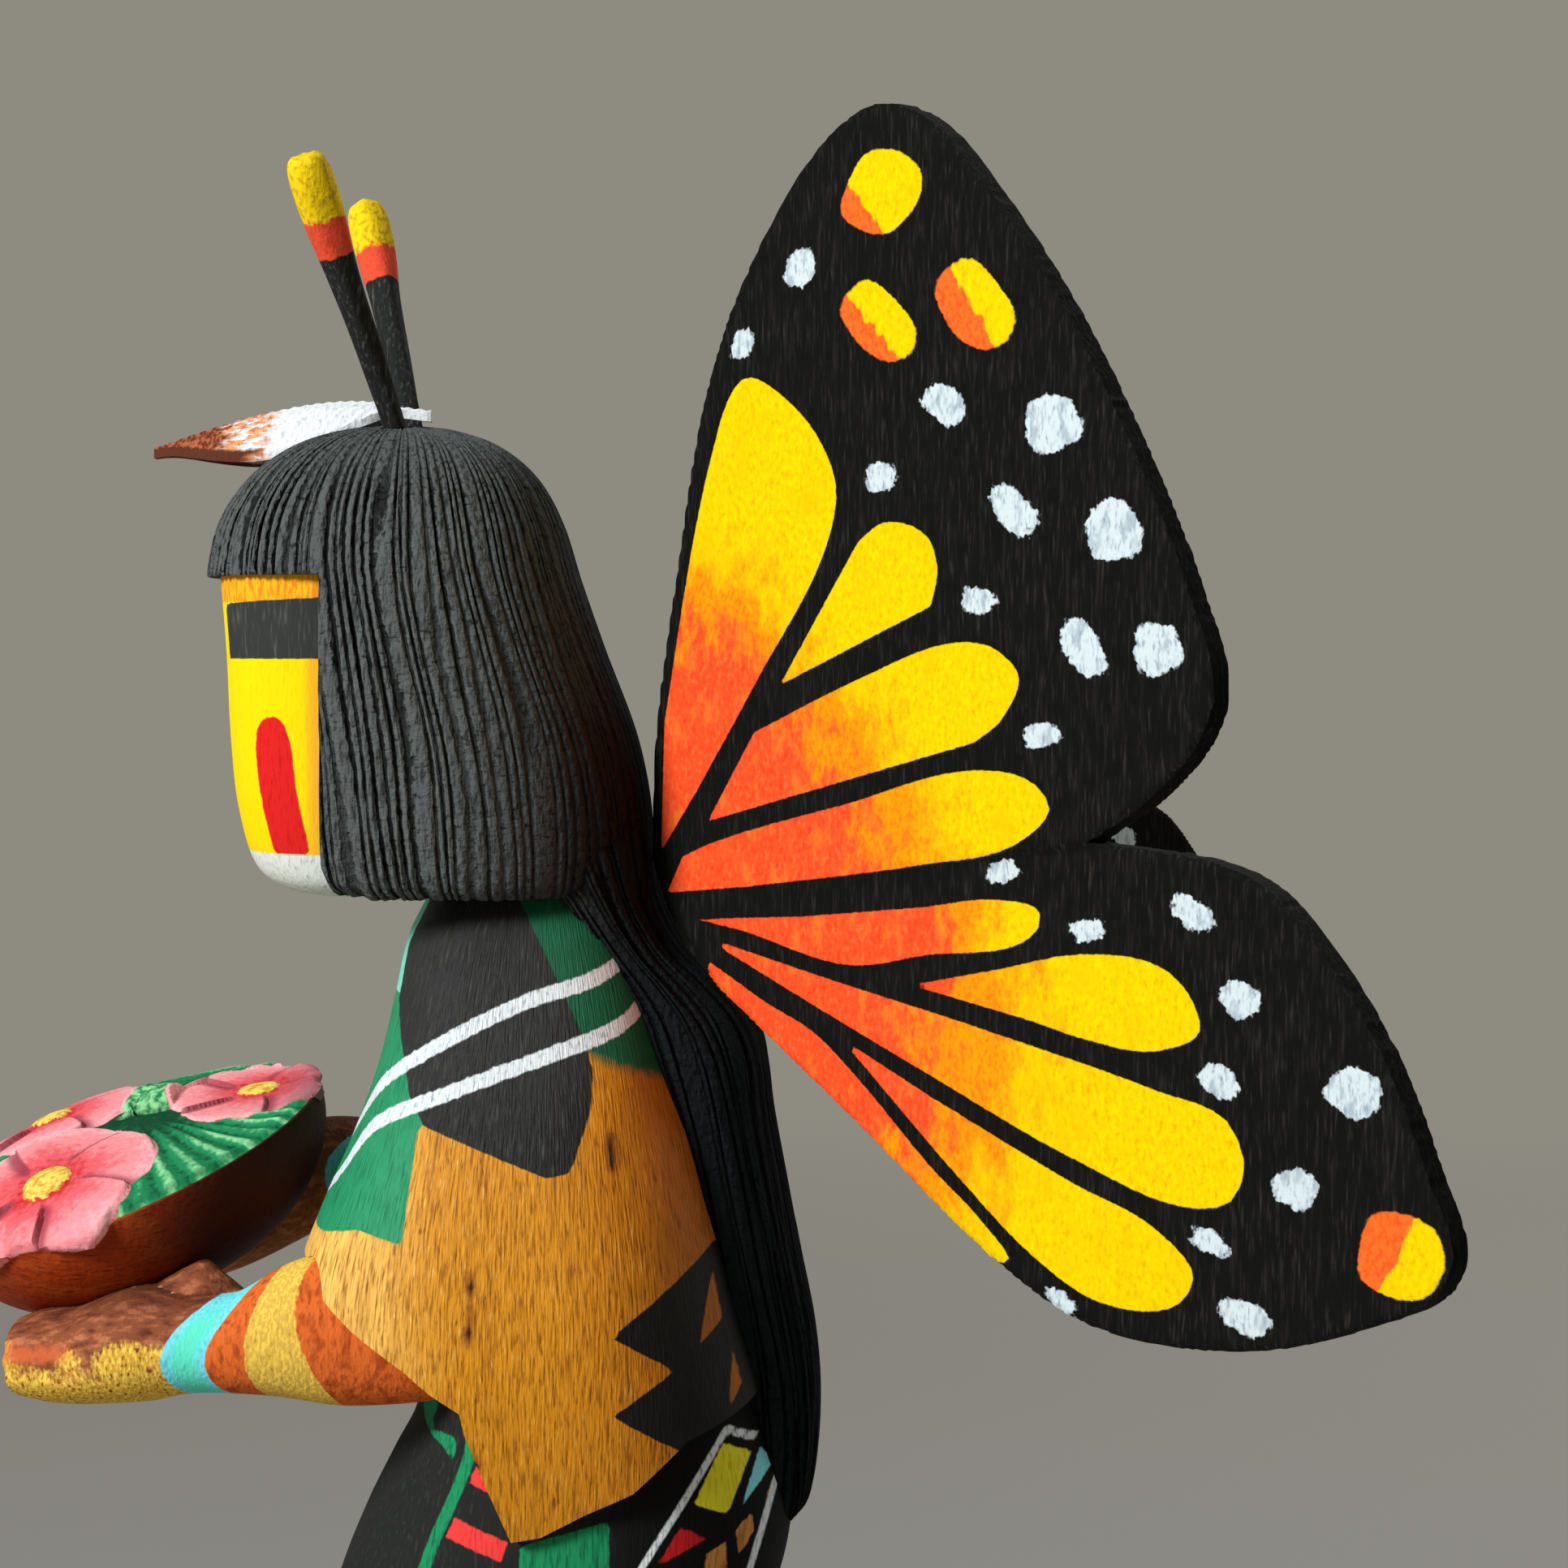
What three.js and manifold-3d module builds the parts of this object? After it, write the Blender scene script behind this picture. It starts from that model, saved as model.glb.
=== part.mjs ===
// Carved and painted wooden doll: a butterfly maiden who carries a bowl of flowers.
// Millimetres, +Z up. The doll faces -Y, its left hand is on +X, and the floor is Z = 0.
import * as THREE from 'three';
import { mergeVertices } from 'three/addons/utils/BufferGeometryUtils.js';
import Module from 'manifold-3d';

const wasm = await Module();
wasm.setup();

// Driving sizes
const GLUE_GAP = 0.3;            // free space between pieces that touch
const BASE_RADIUS = 42;
const BASE_HEIGHT = 12;
const BASE_CHAMFER = 1.5;
const SOLE_HEIGHT = BASE_HEIGHT + GLUE_GAP;
const FRINGE_EDGE = 212;         // lower edge of the fringe above the face
const HAIR_SIDE_EDGE = -18.9;    // where the side hair stops and the mask begins, front to back
const WING_ANGLE = THREE.MathUtils.degToRad(45);
const WING_ROOT = new THREE.Vector2(4, 10.4);
const WING_THICKNESS = 2.6;
const WING_BEVEL = 0.4;
const BOWL_RADIUS = 20;
const BOWL_DEPTH = 12.8;
const BOWL_CENTRE = new THREE.Vector3(0, -41.6, 153.7);
const BOWL_PITCH = THREE.MathUtils.degToRad(21);
const BOWL_ROLL = THREE.MathUtils.degToRad(10.6);
const LOCK_COUNT = 30;           // broad locks carved around the bobbed hair
const TRESS_LOCKS = 22;          // the same around the long hair, its hidden side included
const LOCK_DEPTH = 0.7;
const CAPE_SQUARENESS = 3;

// Sections of the carved forms, each as height, front, back and half width
const BOB = [
  [181.4, -30.0, 9.2, 18.0], [182.6, -31.6, 10.0, 19.4], [186, -32.8, 10.6, 20.3], [195, -33.0, 9.4, 20.5],
  [205.6, -33.0, 5.6, 20.0], [212, -32.9, 3.4, 19.2], [217.2, -31.8, 1.8, 17.6], [221.6, -29.0, -0.5, 15.0],
  [224.8, -24.7, -4.0, 11.2], [226.5, -19.7, -8.6, 6.2], [227, -15.2, -14.0, 0.7],
];
const FACE = [
  [181.3, -22.6, -10, 11.5], [182, -25.4, -6, 14.4], [184.7, -28.3, 0, 16.5], [190, -29.7, 0, 17.2],
  [196, -30.3, 0, 17.5], [205, -30.7, 0, 17.6], [214, -31.4, 0, 17.6],
];
const TRESS = [
  [203, -10, 5.4, 13.6], [194, -7, 9.6, 15.6], [186, -3, 10.8, 15.6], [180, 1.6, 11.8, 14.2],
  [176, 4.4, 14.0, 13.8], [172.6, 6.2, 17.6, 13.8], [169.5, 7.4, 20.4, 14.1], [166.7, 8.2, 21.7, 14.4],
  [159, 11, 22.8, 14.2], [151.9, 12.5, 24.1, 14.0], [144.5, 14, 25.5, 13.8], [138, 15, 26.8, 13.4],
  [131.8, 16, 27.4, 12.8], [125.7, 17, 27.2, 11.4], [121, 18, 26.4, 9.2], [118.8, 19.5, 25.0, 5.5],
];
const CAPE = [
  [184, -9.8, 7.0, 11.5], [180.5, -11.4, 8.4, 14.0], [177.5, -12.8, 9.6, 16.2], [172, -14.0, 11.6, 19.2],
  [165, -15.7, 14.0, 22.2], [158, -18.1, 16.2, 24.8],
  [151.7, -20.9, 17.9, 26.8], [145.2, -23.4, 19.6, 28.1],
  [138, -24.4, 21.5, 28.4], [131, -22.5, 23.2, 27.7], [123, -20.0, 24.6, 26.8], [121, -19.6, 24.8, 26.5],
];
const DRESS = [
  [168, -11, 12.5, 18.0], [150, -12.2, 17.2, 22.5], [140, -11.8, 20.4, 24.0], [131, -12.4, 23.0, 24.8],
  [125.8, -15.0, 24.2, 25.3], [121, -17.4, 24.6, 25.5],
  [113.8, -20.3, 23.4, 25.3], [105, -22.5, 19.0, 24.6],
  [92, -23.7, 14.2, 23.6], [75, -22.4, 12.8, 22.6],
  [55, -20.6, 14.0, 22.4], [39, -20.0, 16.0, 23.2], [37, -19.4, 15.4, 22.6],
];
const BOOT = [
  [SOLE_HEIGHT, -23.0, 8.4, 5.9], [14, -24.0, 9.0, 6.6], [17, -23.2, 9.2, 6.9], [20.5, -18.5, 9.0, 6.8],
  [25, -9.6, 8.4, 6.6], [31, -6.8, 8.4, 6.8], [42, -8.2, 9.2, 7.2],
];
const BOOT_SPREAD = 8.6;

// Lower edge of the cape seen from the side, from the crook of the arm round the tip to the back
const CAPE_EDGE = [
  [-40, 150.5], [-21.0, 147.6], [-18.2, 145.0], [-15.0, 142.6],
  [-12.0, 140.7], [-9.8, 139.3], [-7.5, 137.4], [-4.7, 135.6], [-4.3, 133.6],
  [-3.1, 130.4], [-2.2, 128.2], [-0.2, 123.4], [2.5, 123.9],
  [6.6, 126.1], [11.0, 128.0], [15.9, 132.4], [40, 140],
];

// Each arm from the elbow to the fingertips: x, y, z, half width and half height
const LEFT_ARM = [
  [18.4, -2, 141.8, 4.4, 5.2], [19.4, -9, 141.2, 4.8, 6.5],
  [19.0, -18.6, 141.2, 4.9, 7.1], [17.8, -26.8, 139.6, 4.8, 4.8],
  [16.8, -31.2, 139.3, 4.9, 4.7], [15.4, -36.2, 139.0, 6.2, 5.5],
  [14.0, -42.6, 137.5, 6.4, 4.7], [13.5, -46.8, 137.3, 6.0, 4.3],
  [13.3, -48.9, 137.1, 5.6, 3.7],
];
const RIGHT_ARM = [
  [-18.4, -2, 143.6, 4.4, 5.2], [-19.6, -8, 144.6, 4.8, 6.5],
  [-19.0, -16, 148.2, 4.9, 6.4], [-17.6, -22, 150.2, 4.8, 5.3],
  [-16.6, -25.5, 150.4, 4.9, 5.2], [-15.2, -30, 148.2, 6.0, 5.6],
  [-13.6, -37, 144.2, 6.4, 4.8], [-12.6, -42, 142.4, 5.6, 3.8],
  [-12.2, -43.8, 142.0, 4.4, 3.0],
];

// Each thumb, a wedge that stands up beside the bowl: x, y, z, half thickness and half breadth
const LEFT_THUMB = [
  [14.6, -31.7, 139.6, 3.6, 8.4], [14.6, -31.5, 142.6, 3.1, 6.2],
  [14.6, -31.3, 144.8, 2.3, 3.3], [14.6, -31.1, 146.6, 1.0, 0.6],
];
const RIGHT_THUMB = [
  [-15.2, -30.6, 147.1, 3.4, 6.4], [-14.8, -29.2, 150.1, 3.0, 4.8],
  [-14.4, -28.0, 152.4, 2.2, 2.8], [-14.2, -27.1, 154.2, 1.0, 0.7],
];

// Outline of one wing in its own plane: distance out from the root, then height
const FORE_WING = [
  [0.6, 184.4], [0.9, 194.5], [4.7, 214], [8.2, 228], [13.0, 238],
  [20.2, 247], [26.6, 252.1], [32.2, 253.6], [38, 251.6],
  [45.4, 244.6], [54.2, 233.8], [63, 219.7], [68, 209.6],
  [70.6, 202], [69.4, 198], [64.4, 193], [57.2, 188.8],
];
const HIND_WING = [
  [57.2, 188.8], [64, 188.4], [70.4, 187.8], [76, 186], [81.6, 181.2],
  [87.3, 174], [91.7, 165], [94, 159], [92.6, 156],
  [86, 152.4], [77, 149.2], [67, 147.7], [56.5, 148.2], [46.2, 152.2], [30, 161.6], [10.2, 172.8],
];
const WING_HEEL = [[5.2, 176.4], [2.4, 180.6]];

// Cross sections of the small pieces
const FEATHER = [  // y, height of the ridge, half width
  [-11.2, 228.3, 0.6], [-14.2, 228.7, 0.8], [-17, 229.2, 2.6], [-22, 229.1, 4.2], [-28, 228.0, 4.4],
  [-34, 226.3, 3.0], [-38.8, 224.7, 0.5],
];
const FEATHER_THICKNESS = 0.8;
const FEATHER_ARCH = 0.2;        // drop of the vane per square millimetre from its ridge
const ANTENNA_FOOT = new THREE.Vector3(5.2, -13.6, 225.5);
const ANTENNA_TIP = new THREE.Vector3(16, -20.6, 251.2);
const ANTENNA_PROFILE = [  // distance from the foot, radius
  [0, 1.05], [7, 1.2], [14, 1.4], [18, 1.62], [21.4, 1.95], [24.8, 2.12], [27.2, 1.98], [28.2, 1.65],
  [28.6, 1.15],
];

// Heap of flowers on the bowl: its height in the middle, how that falls along x and y, and its fullness
const HEAP_RISE = 3.9;
const HEAP_LEAN = [0.03, 0.2];
const HEAP_LEAST = 0.6;
const HEAP_FULLNESS = 3.5;
// Flowers and the leaf between them: x and y from the bowl's centre, radius
const FLOWERS = [[12, -4.2, 10.4], [-6.4, -8.6, 9.6], [-5, 13.1, 8.9]];
const PETAL_RISE = 0.9;
const LEAVES = [[9.5, 9.0, 8.5], [-5.2, 2.0, 3.4]];
const LEAF_RISE = 0.6;

// Rows of numbers are joined by cubic curves through all their columns
function through(rows, count) {
  const positions = [0];
  for (let i = 1; i < rows.length; i++) {
    const step = Math.hypot(...rows[i].map((value, column) => value - rows[i - 1][column]));
    positions.push(positions[i - 1] + step);
  }
  const curve = new THREE.CubicInterpolant(positions, rows.flat(), rows[0].length);
  const total = positions[positions.length - 1];
  return Array.from({ length: count }, (_, i) => Array.from(curve.evaluate(total * i / (count - 1))));
}

// A closed skin over rings of points, with a fan at each end
function skin(rings) {
  const columns = rings[0].length;
  const points = rings.flat();
  const faces = [];
  for (let row = 0; row + 1 < rings.length; row++) {
    for (let column = 0; column < columns; column++) {
      const a = row * columns + column;
      const b = row * columns + (column + 1) % columns;
      faces.push(a, b, b + columns, a, b + columns, a + columns);
    }
  }
  const addFan = (ring, first, flip) => {
    const centre = ring.reduce((sum, point) => sum.add(point), new THREE.Vector3()).divideScalar(columns);
    const hub = points.push(centre) - 1;
    for (let column = 0; column < columns; column++) {
      const a = first + column;
      const b = first + (column + 1) % columns;
      faces.push(hub, ...(flip ? [b, a] : [a, b]));
    }
  };
  addFan(rings[0], 0, true);
  addFan(rings[rings.length - 1], (rings.length - 1) * columns, false);
  return new THREE.BufferGeometry().setFromPoints(points).setIndex(faces);
}

function manifoldOf(geometry) {
  const bare = geometry.clone();
  bare.deleteAttribute('normal');
  bare.deleteAttribute('uv');
  const merged = mergeVertices(bare, 1e-4);
  const mesh = new wasm.Mesh({
    numProp: 3,
    vertProperties: new Float32Array(merged.attributes.position.array),
    triVerts: new Uint32Array(merged.index.array),
  });
  return new wasm.Manifold(mesh);
}

function geometryOf(manifold) {
  const mesh = manifold.getMesh();
  const geometry = new THREE.BufferGeometry();
  geometry.setAttribute('position', new THREE.BufferAttribute(mesh.vertProperties, 3));
  geometry.setIndex(new THREE.BufferAttribute(mesh.triVerts, 1));
  geometry.computeVertexNormals();
  return geometry;
}

const power = (value, exponent) => Math.sign(value) * Math.abs(value) ** exponent;

// One upright form: rounded-box sections stacked from the first row to the last
function stack(rows, {
  count, columns, squareness = 2.4, widest = 0.5, grow = 0, centreX = 0, carve = () => 0,
}) {
  const upward = rows[0][0] < rows[rows.length - 1][0] ? rows : [...rows].reverse();
  const rings = through(upward, count).map(([height, front, back, half]) => {
    const middle = front + (back - front) * widest;
    return Array.from({ length: columns }, (_, column) => {
      const turn = 2 * Math.PI * column / columns;
      const across = power(Math.cos(turn), 2 / squareness);
      const along = power(Math.sin(turn), 2 / squareness);
      const reach = (along > 0 ? back - middle : middle - front) + grow;
      const inset = 1 - carve(turn) / Math.max(half, 8);
      return new THREE.Vector3(
        centreX + (half + grow) * across * inset, middle + reach * along * inset, height);
    });
  });
  return skin(rings);
}

// One limb: oval sections carried along a path
function limb(rows, { count, columns, grow = 0 }) {
  const samples = through(rows, count);
  const centres = samples.map(([x, y, z]) => new THREE.Vector3(x, y, z));
  const up = new THREE.Vector3(0, 0, 1);
  const rings = samples.map((sample, i) => {
    const ahead = centres[Math.min(i + 1, count - 1)].clone().sub(centres[Math.max(i - 1, 0)]).normalize();
    const side = new THREE.Vector3().crossVectors(ahead, up).normalize();
    const rise = new THREE.Vector3().crossVectors(side, ahead);
    return Array.from({ length: columns }, (_, column) => {
      const turn = 2 * Math.PI * column / columns;
      return centres[i].clone()
        .addScaledVector(side, (sample[3] + grow) * Math.cos(turn))
        .addScaledVector(rise, (sample[4] + grow) * Math.sin(turn));
    });
  });
  return skin(rings.map((ring) => ring.reverse()));
}

// A prism across the doll over an outline in the side view
function sidePrism(outline, halfWidth) {
  const shape = new THREE.Shape(outline.map(([y, z]) => new THREE.Vector2(y, z)));
  const prism = new THREE.ExtrudeGeometry(shape, { depth: 2 * halfWidth, bevelEnabled: false });
  const toSide = new THREE.Matrix4().makeBasis(
    new THREE.Vector3(0, 1, 0), new THREE.Vector3(0, 0, 1), new THREE.Vector3(1, 0, 0));
  return prism.applyMatrix4(toSide).translate(-halfWidth, 0, 0);
}

// Locks of hair: a rounded ridge between two cuts
const locks = (count) => (turn) => LOCK_DEPTH * (1 - Math.abs(Math.sin(turn * count / 2)));

function hairBob(grow, grooved) {
  const bob = manifoldOf(stack(BOB, {
    count: 14, columns: LOCK_COUNT * 2, squareness: 2.4, widest: 0.52, grow,
    carve: grooved ? locks(LOCK_COUNT) : undefined,
  }));
  const opening = sidePrism(
    [[-60, 150], [HAIR_SIDE_EDGE, 150], [HAIR_SIDE_EDGE, FRINGE_EDGE], [-60, FRINGE_EDGE]], 40);
  return bob.subtract(manifoldOf(opening));
}

function cape(grow) {
  const cloth = manifoldOf(stack(CAPE, {
    count: 12, columns: 36, squareness: CAPE_SQUARENESS, widest: 0.52, grow,
  }));
  const below = sidePrism([...CAPE_EDGE, [40, 90], [-40, 90]], 60);
  return cloth.subtract(manifoldOf(below));
}

// Everything carved from the one block; grow swells it evenly, to cut its neighbours clear of it
function figureSolid({ grow = 0, grooved = true } = {}) {
  const forms = [
    hairBob(grow, grooved),
    manifoldOf(stack(FACE, { count: 10, columns: 30, squareness: 2.8, widest: 0.55, grow })),
    manifoldOf(stack(TRESS, {
      count: 15, columns: TRESS_LOCKS * 2, squareness: 2.3, widest: 0.35, grow,
      carve: grooved ? locks(TRESS_LOCKS) : undefined,
    })),
    cape(grow),
    manifoldOf(stack(DRESS, { count: 15, columns: 32, squareness: 2.4, grow })),
    manifoldOf(limb(LEFT_ARM, { count: 12, columns: 14, grow })),
    manifoldOf(limb(RIGHT_ARM, { count: 12, columns: 14, grow })),
    manifoldOf(limb(LEFT_THUMB, { count: 5, columns: 10, grow })),
    manifoldOf(limb(RIGHT_THUMB, { count: 5, columns: 10, grow })),
    manifoldOf(stack(BOOT, { count: 9, columns: 16, grow, centreX: BOOT_SPREAD })),
    manifoldOf(stack(BOOT, { count: 9, columns: 16, grow, centreX: -BOOT_SPREAD })),
  ];
  return forms.reduce((whole, form) => whole.add(form));
}

function wing(side) {
  const curve = (rows) => new THREE.SplineCurve(rows.map(([out, z]) => new THREE.Vector2(out, z)));
  const outline = [
    ...curve(FORE_WING).getPoints(32).slice(0, -1), ...curve(HIND_WING).getPoints(28),
    ...WING_HEEL.map(([out, z]) => new THREE.Vector2(out, z)),
  ];
  const board = new THREE.ExtrudeGeometry(new THREE.Shape(outline), {
    depth: WING_THICKNESS - 2 * WING_BEVEL, bevelThickness: WING_BEVEL, bevelSize: WING_BEVEL,
    bevelOffset: -WING_BEVEL, bevelSegments: 1,
  });
  board.translate(0, 0, WING_BEVEL - WING_THICKNESS);
  const out = new THREE.Vector3(Math.sin(WING_ANGLE), Math.cos(WING_ANGLE), 0);
  const face = new THREE.Vector3(Math.cos(WING_ANGLE), -Math.sin(WING_ANGLE), 0);
  board.applyMatrix4(new THREE.Matrix4().makeBasis(out, new THREE.Vector3(0, 0, 1), face));
  board.translate(WING_ROOT.x, WING_ROOT.y, 0);
  const placed = manifoldOf(board);
  return side > 0 ? placed : placed.mirror([1, 0, 0]);
}

function antenna(side) {
  const direction = ANTENNA_TIP.clone().sub(ANTENNA_FOOT).normalize();
  const rows = ANTENNA_PROFILE.map(([along, radius]) => {
    const centre = ANTENNA_FOOT.clone().addScaledVector(direction, along);
    return [side * centre.x, centre.y, centre.z, radius, radius];
  });
  return manifoldOf(limb(rows, { count: 14, columns: 12 }));
}

function headFeather() {
  const steps = 4;
  const rings = through(FEATHER, 9).map(([y, ridge, half]) => {
    const upper = [];
    const lower = [];
    for (let i = 0; i <= steps; i++) {
      const x = half * (2 * i / steps - 1);
      const drop = FEATHER_ARCH * x * x;
      upper.push(new THREE.Vector3(x, y, ridge - drop));
      lower.unshift(new THREE.Vector3(x, y, ridge - drop - FEATHER_THICKNESS));
    }
    return [...upper, ...lower].reverse();
  });
  return manifoldOf(skin(rings));
}

// Height of the heaped flowers above the rim at a place on the bowl
function heapHeight(x, y) {
  const reach = Math.min(1, Math.hypot(x, y) / BOWL_RADIUS);
  const crown = Math.max(HEAP_RISE - HEAP_LEAN[0] * x - HEAP_LEAN[1] * y, HEAP_LEAST);
  const bump = ([cx, cy, radius], rise) => {
    const distance = Math.hypot(x - cx, y - cy) / radius;
    return distance < 1 ? rise * (1 - distance ** 4) * (0.35 + 0.65 * Math.min(1, distance * 2.2)) : 0;
  };
  const flowers = FLOWERS.map((flower) => bump(flower, PETAL_RISE));
  const leaves = LEAVES.map((leaf) => bump(leaf, LEAF_RISE));
  return crown * (1 - reach ** HEAP_FULLNESS) + Math.max(0, ...flowers, ...leaves);
}

function placeBowl(geometry) {
  const turn = new THREE.Matrix4().makeRotationX(BOWL_PITCH);
  turn.premultiply(new THREE.Matrix4().makeRotationY(BOWL_ROLL));
  return geometry.applyMatrix4(turn.setPosition(BOWL_CENTRE));
}

// The bowl from the middle of its foot, up the wall, over the rim and across the heap
function flowerBowl(grow = 0) {
  const columns = 36;
  const wallRows = 6;
  const heapRows = 7;
  const ringAt = (radius, height) => Array.from({ length: columns }, (_, column) => {
    const turn = 2 * Math.PI * column / columns;
    const x = radius * Math.cos(turn);
    const y = radius * Math.sin(turn);
    return new THREE.Vector3(x, y, height(x, y));
  });
  const rings = [];
  for (let row = 1; row <= wallRows; row++) {
    const swing = Math.PI / 2 * row / wallRows;
    const radius = (BOWL_RADIUS + grow) * Math.sin(swing) ** 0.8;
    rings.push(ringAt(radius, () => -(BOWL_DEPTH + grow) * Math.cos(swing) ** 1.1));
  }
  for (let row = 1; row < heapRows; row++) {
    const radius = (BOWL_RADIUS + grow) * (1 - row / heapRows) ** 0.8;
    rings.push(ringAt(radius, (x, y) => grow + heapHeight(x, y)));
  }
  return manifoldOf(placeBowl(skin(rings)));
}

function base() {
  const profile = [
    [0, 0], [BASE_RADIUS, 0], [BASE_RADIUS, BASE_HEIGHT - BASE_CHAMFER],
    [BASE_RADIUS - BASE_CHAMFER, BASE_HEIGHT], [0, BASE_HEIGHT],
  ].map(([radius, height]) => new THREE.Vector2(radius, height));
  return manifoldOf(new THREE.LatheGeometry(profile, 40).rotateX(Math.PI / 2));
}

const paint = (color, roughness) => new THREE.MeshStandardMaterial({ color, roughness, metalness: 0 });
const BLACK_PAINT = paint('#2b2a29', 0.85);
const CAPE_WOOD = paint('#b87f36', 0.75);
const BOWL_STAIN = paint('#6f3216', 0.7);
const FEATHER_PAINT = paint('#e4e6e4', 0.8);
const BASE_WOOD = paint('#a9783f', 0.8);

const bowl = flowerBowl();
const figure = figureSolid().subtract(flowerBowl(GLUE_GAP));
const clearance = figureSolid({ grow: GLUE_GAP, grooved: false });
const antennae = [antenna(1), antenna(-1)];
const feather = headFeather();

const pieces = [
  ['figure', figure, CAPE_WOOD],
  ['left_wing', wing(1).subtract(clearance), BLACK_PAINT],
  ['right_wing', wing(-1).subtract(clearance), BLACK_PAINT],
  ['left_antenna', antennae[0].subtract(clearance), BLACK_PAINT],
  ['right_antenna', antennae[1].subtract(clearance), BLACK_PAINT],
  ['head_feather', feather.subtract(clearance), FEATHER_PAINT],
  ['flower_bowl', bowl, BOWL_STAIN],
  ['base', base(), BASE_WOOD],
];

const doll = new THREE.Group();
doll.name = 'kachina_doll';
for (const [name, solid, material] of pieces) {
  const mesh = new THREE.Mesh(geometryOf(solid), material);
  mesh.name = name;
  doll.add(mesh);
}
export default doll;
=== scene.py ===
"""Looks of a carved and painted butterfly maiden: fine carving, coats of paint, and bare wood."""

import math

import bmesh
import bpy
import numpy as np
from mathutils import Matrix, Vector


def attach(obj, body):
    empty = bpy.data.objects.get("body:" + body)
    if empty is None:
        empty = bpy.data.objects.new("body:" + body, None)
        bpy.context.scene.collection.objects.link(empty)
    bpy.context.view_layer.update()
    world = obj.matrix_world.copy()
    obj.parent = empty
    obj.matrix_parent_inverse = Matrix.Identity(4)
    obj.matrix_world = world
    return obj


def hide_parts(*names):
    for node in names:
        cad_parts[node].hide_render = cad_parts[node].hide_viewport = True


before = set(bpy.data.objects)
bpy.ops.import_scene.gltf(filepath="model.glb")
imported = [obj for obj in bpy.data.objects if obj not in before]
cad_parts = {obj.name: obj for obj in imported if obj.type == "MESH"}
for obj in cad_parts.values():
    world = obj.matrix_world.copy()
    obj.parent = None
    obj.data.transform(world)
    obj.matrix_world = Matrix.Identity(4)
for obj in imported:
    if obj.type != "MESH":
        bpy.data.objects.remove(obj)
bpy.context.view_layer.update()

# Sizes in millimetres, for the main forms the same as in the solids: the doll faces -Y and stands on z = 0
MM = 0.001
BASE_RADIUS = 42
BASE_HEIGHT = 12
BASE_CHAMFER = 1.5
BASE_EASE = 0.6
FRINGE_EDGE = 212
HAIR_SIDE_EDGE = -18.9
HAIR_CORNER = 2.4

# Sections of the upright forms: height, front, back, half width
BOB = [
    (181.4, -30, 9.2, 18), (182.6, -31.6, 10, 19.4), (186, -32.8, 10.6, 20.3), (195, -33, 9.4, 20.5),
    (205.6, -33, 5.6, 20), (212, -32.9, 3.4, 19.2), (217.2, -31.8, 1.8, 17.6), (221.6, -29, -0.5, 15),
    (224.8, -24.7, -4, 11.2), (226.5, -19.7, -8.6, 6.2), (227, -15.2, -14, 0.7),
]
FACE = [
    (181.3, -22.6, -10, 11.5), (182, -25.4, -6, 14.4), (184.7, -28.3, 0, 16.5), (190, -29.7, 0, 17.2),
    (196, -30.3, 0, 17.5), (205, -30.7, 0, 17.6), (214, -31.4, 0, 17.6),
]
TRESS = [
    (203, -10, 5.4, 13.6), (194, -7, 9.6, 15.6), (186, -3, 10.8, 15.6), (180, 1.6, 11.8, 14.2),
    (176, 4.4, 14, 13.8), (172.6, 6.2, 17.6, 13.8), (169.5, 7.4, 20.4, 14.1), (166.7, 8.2, 21.7, 14.4),
    (159, 11, 22.8, 14.2), (151.9, 12.5, 24.1, 14), (144.5, 14, 25.5, 13.8), (138, 15, 26.8, 13.4),
    (131.8, 16, 27.4, 12.8), (125.7, 17, 27.2, 11.4), (121, 18, 26.4, 9.2), (118.8, 19.5, 25, 5.5),
]
CAPE = [
    (184, -9.8, 7, 11.5), (180.5, -11.4, 8.4, 14), (177.5, -12.8, 9.6, 16.2), (172, -14, 11.6, 19.2),
    (165, -15.7, 14, 22.2), (158, -18.1, 16.2, 24.8), (151.7, -20.9, 17.9, 26.8),
    (145.2, -23.4, 19.6, 28.1), (138, -24.4, 21.5, 28.4), (131, -22.5, 23.2, 27.7),
    (123, -20, 24.6, 26.8), (121, -19.6, 24.8, 26.5),
]
DRESS = [
    (168, -11, 12.5, 18), (150, -12.2, 17.2, 22.5), (140, -11.8, 20.4, 24), (131, -12.4, 23, 24.8),
    (125.8, -15, 24.2, 25.3), (121, -17.4, 24.6, 25.5), (113.8, -20.3, 23.4, 25.3),
    (105, -22.5, 19, 24.6), (92, -23.7, 14.2, 23.6), (75, -22.4, 12.8, 22.6), (55, -20.6, 14, 22.4),
    (39, -20, 16, 23.2), (37, -19.4, 15.4, 22.6),
]
BOOT = [
    (12.3, -23, 8.4, 5.9), (14, -24, 9, 6.6), (17, -23.2, 9.2, 6.9), (20.5, -18.5, 9, 6.8),
    (25, -9.6, 8.4, 6.6), (31, -6.8, 8.4, 6.8), (42, -8.2, 9.2, 7.2),
]
BOOT_CENTRE = 8.6
# Squareness of the sections, and how far back they are broadest
BOB_ROUND = (2.4, 0.52)
TRESS_ROUND = (2.3, 0.35)
CAPE_ROUND = (3, 0.52)
FACE_ROUND = (2.8, 0.55)
DRESS_ROUND = (2.4, 0.5)
BOOT_ROUND = (2.4, 0.5)
BOB_STRANDS = 112
TRESS_STRANDS = 54
STRAND_DEPTH = 0.5
RIDGE_DEPTH = 0.16
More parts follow.
